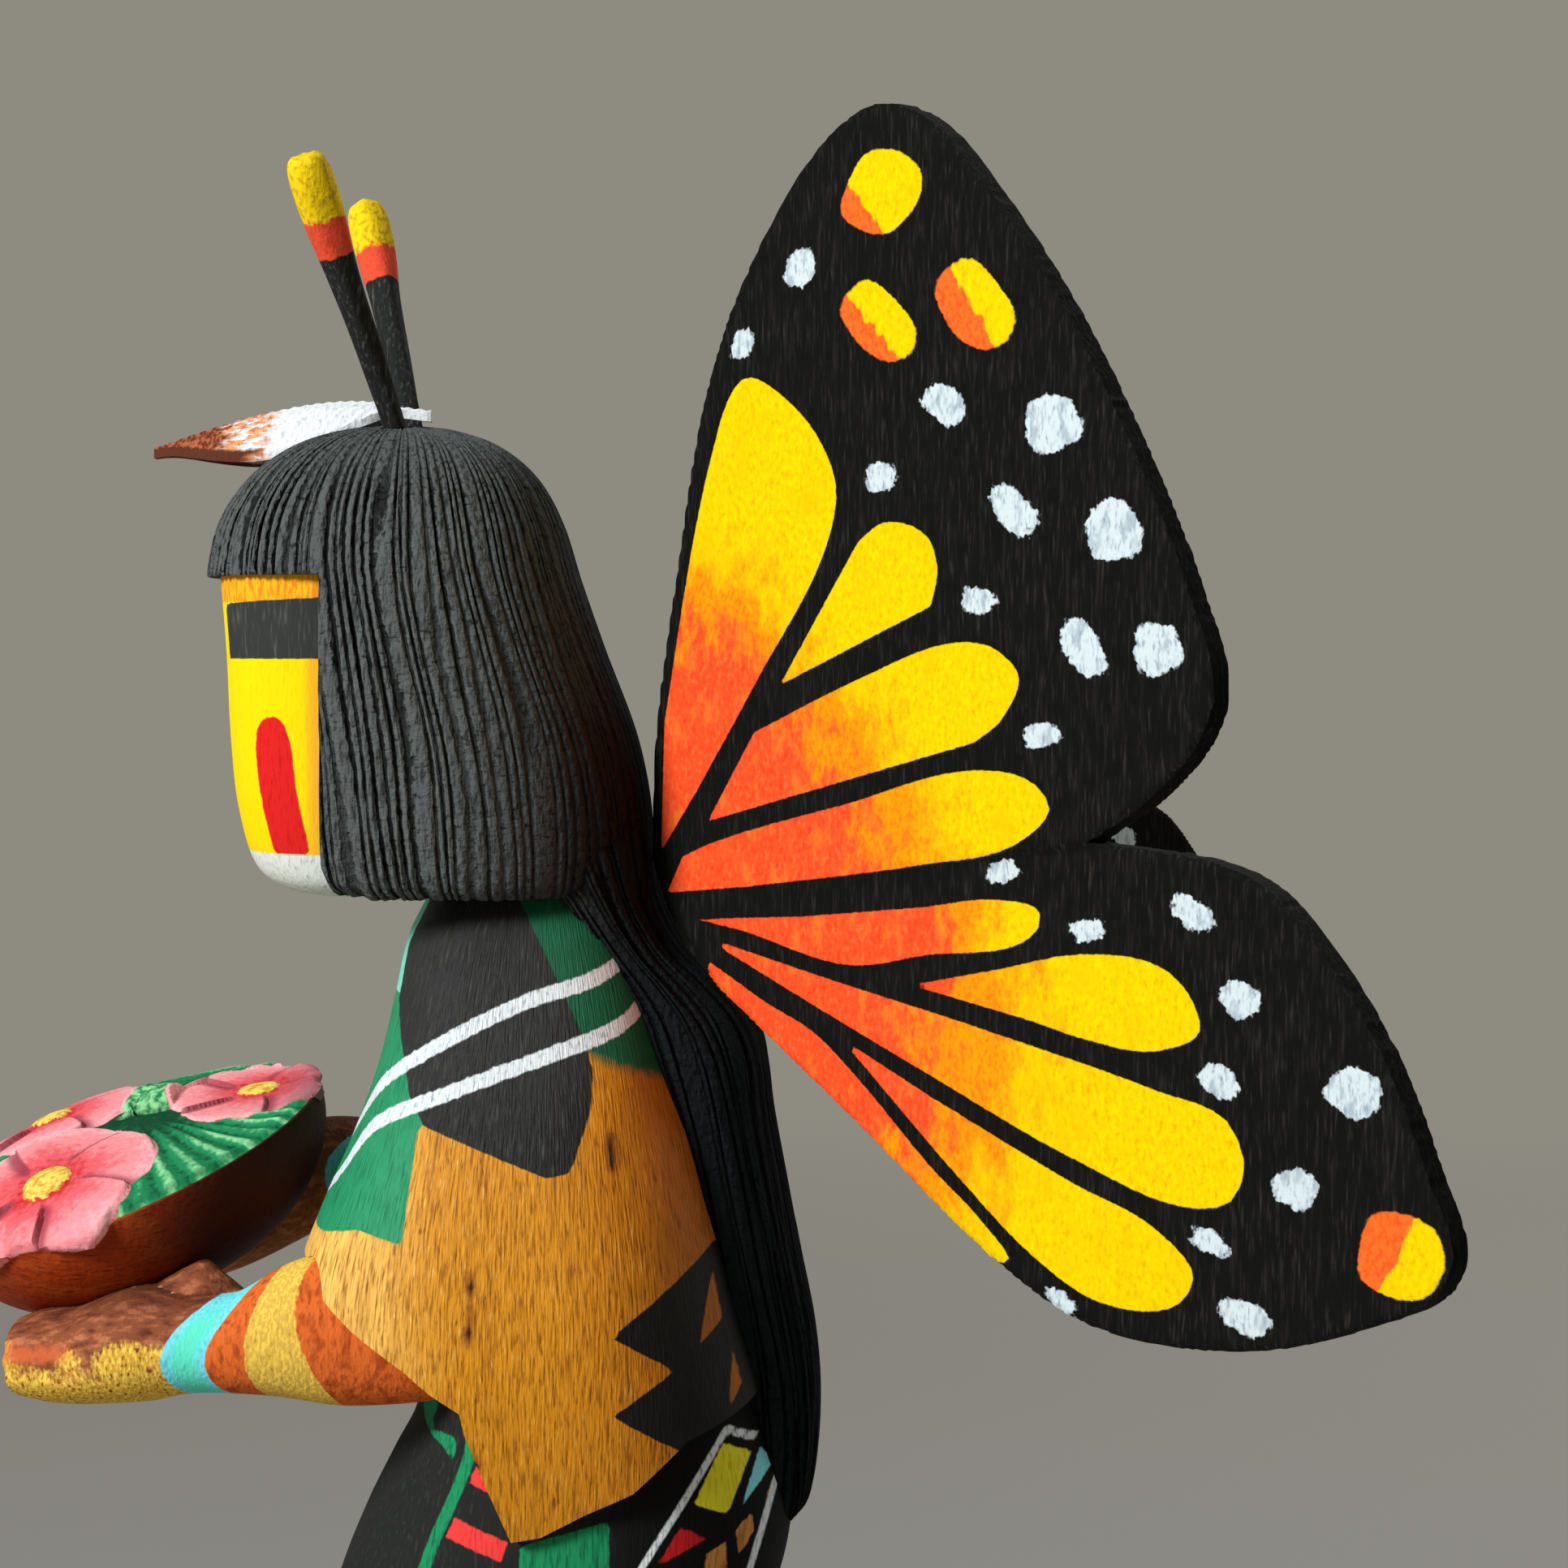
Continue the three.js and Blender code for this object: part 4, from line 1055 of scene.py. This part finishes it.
def paint_marks(figure):
    """Marks for the paint of the whole figure, worked out from where its points are."""
    points = points_of(figure)
    mesh = figure.data
    beside = np.abs(points[:, 0])
    side = points[:, 1:]
    y, z = side.T
    areas = dict(patch=CHEST_PATCH, front_green=FRONT_GREEN, back_green=BACK_GREEN, necklace=NECKLACE,
                 sash=SASH, cheek=through(CHEEK_MARK, 40))
    for name, outline in areas.items():
        mark(mesh, name, outline_distance(side, outline))
    gaps = outlines_distance(side, TEETH_GAPS)
    mark(mesh, "teeth", np.maximum(outline_distance(side, TEETH), -gaps))
    flat = laid_flat(points)
    mark(mesh, "round", flat[:, 0])
    lines = [line_distance(flat, laid_flat(through(line, 80))) for line in (UPPER_LINE, LOWER_LINE)]
    mark(mesh, "line", np.min(lines, axis=0) - LINE_WIDTH / 2)
    low, high = EYE_BAND
    above = z - high - EYE_BAND_RISE * (y - EYE_BAND_FRONT)
    mark(mesh, "band", np.max([above, low - z, EYE_BAND_GAP - beside], axis=0))
    mark(mesh, "brow", BROW_LINE - z)
    mark(mesh, "chin", z - CHIN_LINE)
    mark(mesh, "shade", MASK_SHADE - y)
    stripe = np.asarray(DRESS_STRIPE, float)[::-1]
    mark(mesh, "past_stripe", y - np.interp(z, stripe[:, 1], stripe[:, 0]))
    greens = [GREEN_PANEL, BACK_PANEL, through(DRESS_CRESCENT, 40)]
    mark(mesh, "dress_green", outlines_distance(side, greens))
    sash_lines = np.min([line_distance(side, line) for line in SASH_LINES], axis=0)
    mark(mesh, "sash_line", sash_lines - SASH_LINE_WIDTH / 2)
    figures = dict(sash_yellow=[SASH_YELLOW], sash_blue=[SASH_BLUE], sash_red=[SASH_RED], sash_bars=SASH_BARS)
    for name, shapes in figures.items():
        shapes = [np.asarray(shape, float) for shape in shapes]
        again = [shape + SASH_REPEAT for shape in shapes]
        mark(mesh, name, outlines_distance(side, shapes + again))
    mark(mesh, "height", z)
    mark(mesh, "behind", y)
    mark(mesh, "left", points[:, 0])
    cracks = np.min([line_distance(side, crack) for crack in CAPE_CRACKS], axis=0) - CRACK_WIDTH / 2
    mark(mesh, "crack", np.where(points[:, 0] > 0, cracks, 9))


def make_figure(bowl_room):
    """The figure, carved as one: hair, mask, cape, arms, dress and boots joined, with room for the bowl."""
    hair, mask_coat, stain = hair_paint(), mask_paint(), cape_paint()
    arms, cloth, boots = arm_paint(), dress_paint(), boot_paint()
    figure = hair_bob(hair)
    parts = [
        skin("face", stack(FACE, 50, 110, *FACE_ROUND), mask_coat),
        tress(hair),
        cape(stain),
        skin("dress", stack(DRESS, 170, 190, *DRESS_ROUND), cloth),
        arm("left_arm", LEFT_ARM, arms),
        arm("right_arm", RIGHT_ARM, arms, RIGHT_BANDS),
        thumb("left_thumb", LEFT_THUMB, arms),
        thumb("right_thumb", RIGHT_THUMB, arms),
        skin("left_boot", stack(BOOT, 32, 36, *BOOT_ROUND, BOOT_CENTRE), boots),
        skin("right_boot", stack(BOOT, 32, 36, *BOOT_ROUND, -BOOT_CENTRE), boots),
    ]
    for part in parts:
        combine(figure, part, "UNION")
    bowl_room.data.materials.clear()
    bowl_room.data.materials.append(arms)
    combine(figure, bowl_room, "DIFFERENCE")
    heal(figure.data, ("strand", "deep", "reach", "rise"))
    paint_marks(figure)
    hand_over(figure, "figure")


# The wings

def wing_outline():
    """Outline of a wing, a and z, with the small roughness of a sawn edge."""
    fore = through(FORE_WING, 300)
    hind = through(HIND_WING, 300)
    outline = np.concatenate([fore, hind[1:], WING_HEEL])
    ahead = unit(np.roll(outline, -1, axis=0) - np.roll(outline, 1, axis=0))
    step = np.arange(len(outline))
    rough = 0.12 * (scatter(step) - 0.5) * (np.sin(step * 0.37) + np.sin(step * 0.113))
    rough[-4:] = 0
    return outline + rough[:, None] * np.column_stack([ahead[:, 1], -ahead[:, 0]])


def wing_place(a, z, depth, hand):
    """Point of a wing board: a along the board, depth behind its outer face; hand is 1 on the left."""
    x = WING_ROOT[0] + a * math.sin(WING_ANGLE) - depth * math.cos(WING_ANGLE)
    y = WING_ROOT[1] + a * math.cos(WING_ANGLE) + depth * math.sin(WING_ANGLE)
    return np.stack(np.broadcast_arrays(hand * x, y, z), axis=-1)


def make_wing(node, hand, paint):
    """Board with eased edges, cut to the wing's outline, the hind wing a little lower behind the notch."""
    outline = wing_outline()
    a, z = np.meshgrid(np.arange(*WING_LENGTHS, WING_STEP), np.arange(*WING_HEIGHTS, WING_STEP))
    flat = np.column_stack([a.ravel(), z.ravel()])
    edge = np.clip(WING_EDGE + outline_distance(flat, outline[::3]).reshape(a.shape), 0, WING_EDGE)
    eased = WING_EDGE - np.sqrt(WING_EDGE ** 2 - edge ** 2)
    notch_a, notch_z = HIND_WING[0]
    below = -4 - (z - notch_z) - 0.14 * (notch_a - a)
    lower = smooth(below, -4.2, -3.4) * smooth(-below, -14, 2) * smooth(a, 24, 54) * smooth(-a, -86, -62)
    front = wing_place(a, z, eased + HIND_WING_DROP * lower, hand)
    back = wing_place(a, z, WING_THICKNESS - eased, hand)
    rings = np.concatenate([front, back[:, ::-1]], axis=1)
    wing = skin(node + "_board", rings if hand > 0 else rings[:, ::-1], paint)
    near = wing_place(outline[:, 0], outline[:, 1], -2, hand)
    far = wing_place(outline[:, 0], outline[:, 1], WING_THICKNESS + 2, hand)
    combine(wing, prism("outline", near, far, paint), "INTERSECT")
    for rows, roundness in ((TRESS, TRESS_ROUND), (BOB, BOB_ROUND), (CAPE, CAPE_ROUND)):
        trim(wing, rows, roundness, paint)
    points = points_of(wing)
    sideways = hand * points[:, 0] - WING_ROOT[0]
    behind = points[:, 1] - WING_ROOT[1]
    run = sideways * math.sin(WING_ANGLE) + behind * math.cos(WING_ANGLE)
    paint_wing(wing.data, np.column_stack([run, points[:, 2]]))
    hand_over(wing, node)


def paint_wing(mesh, points):
    """Marks for the wing's paint: nearest cell and how far past its turn to yellow, dabs and spots."""
    from_centre = np.linalg.norm(points - np.array(BLUSH_CENTRE), axis=1)
    cells = []
    blushes = []
    for orange, yellow, outline in WING_CELLS:
        curve = through(outline[1:], 66)
        cells.append(outline_distance(points, np.concatenate([outline[:1], curve])))
        blushes.append((from_centre - orange) / (yellow - orange))
    nearest = np.argmin(cells, axis=0)
    mark(mesh, "cell", np.min(cells, axis=0))
    mark(mesh, "blush", np.choose(nearest, blushes))
    mark(mesh, "white", ovals_distance(points, WHITE_DABS, 0.05))
    mark(mesh, "spot", ovals_distance(points, TWO_TONE_SPOTS, 0.02))
    spots = np.array(TWO_TONE_SPOTS)
    off = points[:, None] - spots[None, :, :2]
    nearest = np.argmin(np.linalg.norm(off, axis=2), axis=1)
    off = off[np.arange(len(points)), nearest]
    start, way = np.array(ORANGE_STARTS)[nearest].T
    way = np.radians(way)
    mark(mesh, "spot_side", np.cos(way) * off[:, 0] * SIDE_LOOK + np.sin(way) * off[:, 1] - start)


# Antennae and feather

def make_antenna(node, hand, paint):
    """Stalk that swells towards its tip, along a straight line, trimmed where it meets the hair."""
    foot = np.array(ANTENNA_FOOT, float)
    ahead = unit(np.array(ANTENNA_TOWARDS) - foot)
    mirror = (hand, 1, 1)
    rows = [(*(foot + ahead * run) * mirror, radius, radius) for run, radius in ANTENNA_PROFILE]
    rings = limb(rows, 90, 40)
    turn = turns(40)[None]
    along = np.linalg.norm(rings.mean(axis=1) - foot * mirror, axis=1)[:, None]
    facets = 0.06 * np.sin(5 * turn + 0.2 * along) + 0.03 * np.sin(3 * turn - 0.4 * along)
    along_ring = np.broadcast_to(along, rings.shape[:2])
    antenna = skin(node + "_stalk", sink(rings, facets), paint, reach=along_ring)
    trim(antenna, BOB, BOB_ROUND, paint)
    heal(antenna.data, ("reach",))
    hand_over(antenna, node)


def make_feather(paint):
    """Carved feather: an arched blade whose top drops with the square of the distance from the quill."""
    y, ridge, half = through(FEATHER, 120).T[:, :, None]
    share = np.linspace(-1, 1, 41)[None]
    x = half * share
    arch = ridge - FEATHER_ARCH * x ** 2
    quill = 0.25 * np.exp(-(x / 0.35) ** 2)
    barbs = 0.07 * np.sin(5.5 * (y + 0.9 * np.abs(x)))
    upper = np.stack(np.broadcast_arrays(x, y, arch + quill + barbs), axis=-1)
    lower = np.stack(np.broadcast_arrays(x, y, arch - FEATHER_THICKNESS), axis=-1)
    rings = np.concatenate([upper, lower[:, ::-1]], axis=1)[:, ::-1]
    reach = np.broadcast_to(FEATHER[0][0] - y, rings.shape[:2])
    near_edge = half * (1 - np.abs(share)) - 0.25
    feather_edge = np.concatenate([near_edge, near_edge], axis=1)[:, ::-1]
    feather = skin("feather_blade", rings, paint, reach=reach, feather_edge=feather_edge)
    trim(feather, BOB, BOB_ROUND, paint)
    heal(feather.data, ("reach", "feather_edge"))
    hand_over(feather, "head_feather")


# The bowl

def flower(x, y, middle_x, middle_y, radius, first, relief):
    """One carved flower of overlapping petals: distance from its edge, height, share of the way out along a
    petal, fold between petals, and distance from its heart. Each petal rises outwards and from one side to
    the other, so that it lies over the next."""
    away = np.hypot(x - middle_x, y - middle_y)
    swing = np.arctan2(y - middle_y, x - middle_x) - first + 0.25 * away / radius
    lobe = np.mod(swing * PETALS / (2 * np.pi), 1)
    edge = radius * (0.87 + 0.13 * np.sin(np.pi * lobe) ** 0.4)
    share = away / edge
    out = smooth(share, 0.15, 0.6)
    over = 0.7 * (lobe - 0.5) + 0.25 * np.sin(np.pi * lobe)
    height = PETAL_EDGE + PETAL_RISE * smooth(share, 0.1, 0.9) + out * over
    core = 0.22 * radius
    height = np.where(away < core, 0.7 + 0.4 * np.sqrt(np.clip(1 - away / core, 0, 1)), height)
    fold = np.exp(-(np.where(lobe < 0.5, lobe, 4 * (1 - lobe)) * away / 1.1) ** 2) * smooth(share, 0.2, 0.45)
    return away - edge, relief * height, share, fold, away - core


def heap_relief(x, y):
    """Flowers, a bud and ribbed leaves over the bowl, on the heap laid flat: height above it, and the paint's
    marks. The leaves stop short of the rim, and the petals hang a little over it."""
    swing = np.arctan2(y - LEAF_HEART[1], x - LEAF_HEART[0])
    from_heart = np.hypot(x - LEAF_HEART[0], y - LEAF_HEART[1])
    number = swing * LEAF_RIBS / (2 * np.pi) + 0.2 * np.sin(5 * swing) + 0.03 * np.sin(from_heart / 1.7)
    rib = 0.5 + 0.5 * np.cos(2 * np.pi * number)
    light = 0.45 + 0.55 * scatter(np.floor(number + 0.5))
    out = np.hypot(x, y) - BOWL_RADIUS
    cover = out + LEAF_INSET
    far = smooth(from_heart, 2, 10)
    blade = 0.3 + 0.45 * rib * far * light + 0.3 * smooth(np.sin(swing * 3 + 0.6), -0.4, 0.8)
    height = blade * smooth(-cover, 0, 0.8)
    bud = np.hypot(x - BUD[0], 0.7 * (y - BUD[1])) - BUD[2] * (1 + 0.2 * np.sin(4 * swing))
    height = np.where(bud < 0, height + 1.7 * np.sqrt(np.clip(-bud / BUD[2], 0, 1)), height)
    petal, heart = np.full((2, *x.shape), 99.0)
    petal_run, petal_fold = np.zeros((2, *x.shape))
    for petals in FLOWERS:
        edge, rise, share, fold, core = flower(x, y, *petals)
        edge = np.maximum(edge, out - PETAL_DROP * (1 + np.sin(9 * np.arctan2(y, x) + 1.2)))
        shows = (edge < 0) & (edge < petal)
        under = np.where(edge > -0.5, height, 0)
        height = np.where(shows, np.maximum(rise * smooth(-edge, -0.1, 0.5), under), height)
        petal_run = np.where(shows, share, petal_run)
        petal_fold = np.where(shows, fold, petal_fold)
        petal = np.minimum(petal, edge)
        heart = np.minimum(heart, core)
    cover = np.minimum(cover, petal)
    marks = dict(cover=cover, petal=petal, petal_run=petal_run, petal_fold=petal_fold, heart=heart,
                 bud=bud, behind=y, rib=(0.2 + 0.8 * rib * light) * smooth(from_heart, 4, 15))
    return height, marks


def bowl_form(wall_levels, heap_levels, columns):
    """Rings from the bowl's foot up its wall to the rim and in across the heap, in its own frame, and their
    distance from the middle of the heap along the surface."""
    swing = np.linspace(0.03, np.pi / 2, wall_levels)
    wall_radius = BOWL_RADIUS * np.sin(swing) ** 0.8
    wall_height = -BOWL_DEPTH * np.cos(swing) ** 1.1
    drop = np.hypot(np.diff(wall_radius), np.diff(wall_height))
    below_rim = np.concatenate([np.cumsum(drop[::-1])[::-1], [0]])
    heap_radius = BOWL_RADIUS * np.linspace(0.99, 0.015, heap_levels)
    flat = np.concatenate([BOWL_RADIUS + below_rim, heap_radius])[:, None]
    turn = turns(columns)[None]
    radius = np.concatenate([wall_radius, heap_radius])[:, None]
    x, y = radius * np.cos(turn), radius * np.sin(turn)
    crown = np.maximum(HEAP_RISE - HEAP_LEAN[0] * x - HEAP_LEAN[1] * y, HEAP_LEAST)
    heap = crown * (1 - np.minimum(radius / BOWL_RADIUS, 1) ** HEAP_FULLNESS)
    wall = np.broadcast_to(wall_height[:, None], (wall_levels, columns))
    height = np.concatenate([wall, heap[wall_levels:]])
    return np.stack([x, y, height], axis=-1), flat * np.cos(turn), flat * np.sin(turn)


def place_bowl(points):
    """Pitches the bowl about X, rolls it about Y and moves it to its place."""
    x, y, z = np.moveaxis(points, -1, 0)
    dip, lift = math.sin(BOWL_PITCH), math.cos(BOWL_PITCH)
    y, z = y * lift - z * dip, y * dip + z * lift
    lean, keep = math.sin(BOWL_ROLL), math.cos(BOWL_ROLL)
    x, z = x * keep + z * lean, z * keep - x * lean
    return np.stack([x, y, z], axis=-1) + BOWL_CENTRE


def make_bowl(paint):
    """Bowl with its heap of flowers, carved as one."""
    rings, x, y = bowl_form(44, 140, 400)
    height, marks = heap_relief(x, y)
    bowl = skin("bowl_of_flowers", place_bowl(sink(rings, -height)), paint, **marks)
    hand_over(bowl, "flower_bowl", 60)


def bowl_room(paint):
    """Copy of the bowl's form, for the hands to fit."""
    return skin("bowl_room", place_bowl(bowl_form(30, 20, 80)[0]), paint)


# The base

def make_base(paint):
    """Turned disc with eased edges: a profile of radius and height carried round."""
    profile = np.array([
        (BASE_RADIUS - BASE_EASE, 0), (BASE_RADIUS, BASE_EASE), (BASE_RADIUS, BASE_HEIGHT - BASE_CHAMFER),
        (BASE_RADIUS - BASE_CHAMFER, BASE_HEIGHT), (BASE_RADIUS * 0.66, BASE_HEIGHT),
        (BASE_RADIUS * 0.33, BASE_HEIGHT),
    ], float)
    turn = turns(120)[None]
    radius, height = profile.T[:, :, None]
    rings = np.stack(np.broadcast_arrays(radius * np.cos(turn), radius * np.sin(turn), height), axis=-1)
    hand_over(skin("base_disc", rings, paint), "base", 30)


# The studio

def make_studio():
    """Pale floor that fades into even grey walls under a darker ceiling, a soft key light from the doll's
    front left and a weaker one from behind its right shoulder."""
    world = bpy.data.worlds.new("studio")
    bpy.context.scene.world = world
    world.use_nodes = True
    tree = world.node_tree
    outwards = tree.nodes.new("ShaderNodeTexCoord")
    split = tree.nodes.new("ShaderNodeSeparateXYZ")
    upwards = tree.nodes.new("ShaderNodeMapRange")
    upwards.inputs["From Min"].default_value = CEILING_FADE[0]
    upwards.inputs["From Max"].default_value = CEILING_FADE[1]
    walls = tree.nodes.new("ShaderNodeMix")
    walls.data_type = "RGBA"
    walls.inputs[6].default_value = WALL_GREY
    walls.inputs[7].default_value = CEILING_GREY
    tree.links.new(outwards.outputs["Generated"], split.inputs[0])
    tree.links.new(split.outputs["Z"], upwards.inputs["Value"])
    tree.links.new(upwards.outputs[0], walls.inputs[0])
    tree.links.new(walls.outputs[2], tree.nodes["Background"].inputs["Color"])
    floor = Coats("floor", 0.9, 0.2)
    floor.shader.inputs["Base Color"].default_value = linear((160, 158, 152))
    away = floor.node("ShaderNodeVectorMath", {0: floor.place}, operation="LENGTH").outputs["Value"]
    floor.tree.links.new(floor.fade(away, *FLOOR_FADE, 1, 0), floor.shader.inputs["Alpha"])
    half = FLOOR_HALF / MM
    corners = [(-half, -half, 0), (half, -half, 0), (half, half, 0), (-half, half, 0)]
    new_piece("floor", corners, [(0, 1, 2, 3)], floor.material)
    add_light("key", *KEY_LIGHT)
    add_light("back", *BACK_LIGHT)


def add_light(name, place, size, power):
    """Square area light aimed at the middle of the doll."""
    lamp = bpy.data.lights.new(name, "AREA")
    lamp.size = size
    lamp.energy = power
    light = bpy.data.objects.new(name, lamp)
    light.location = place
    light.rotation_euler = (Vector(LIGHTS_AIM) - light.location).to_track_quat("-Z", "Y").to_euler()
    bpy.context.scene.collection.objects.link(light)


def make_camera():
    """Camera close to the doll's left side, turned a little to its front and a little down."""
    lens = bpy.data.cameras.new("camera")
    lens.lens = CAMERA_LENS
    lens.sensor_width = CAMERA_SENSOR
    lens.clip_start = 0.01
    camera = bpy.data.objects.new("camera", lens)
    level = math.cos(CAMERA_DIP)
    ahead = Vector((-math.cos(CAMERA_TURN) * level, -math.sin(CAMERA_TURN) * level, -math.sin(CAMERA_DIP)))
    camera.location = CAMERA_PLACE
    camera.rotation_euler = ahead.to_track_quat("-Z", "Y").to_euler()
    bpy.context.scene.collection.objects.link(camera)
    bpy.context.scene.camera = camera


bpy.context.scene.view_settings.view_transform = "Standard"
make_studio()
make_camera()
bowl_coat = bowl_paint()
make_bowl(bowl_coat)
make_figure(bowl_room(bowl_coat))
wing_coat = wing_paint()
make_wing("left_wing", 1, wing_coat)
make_wing("right_wing", -1, wing_coat)
antenna_coat = antenna_paint()
make_antenna("left_antenna", 1, antenna_coat)
make_antenna("right_antenna", -1, antenna_coat)
make_feather(feather_paint())
make_base(base_paint())
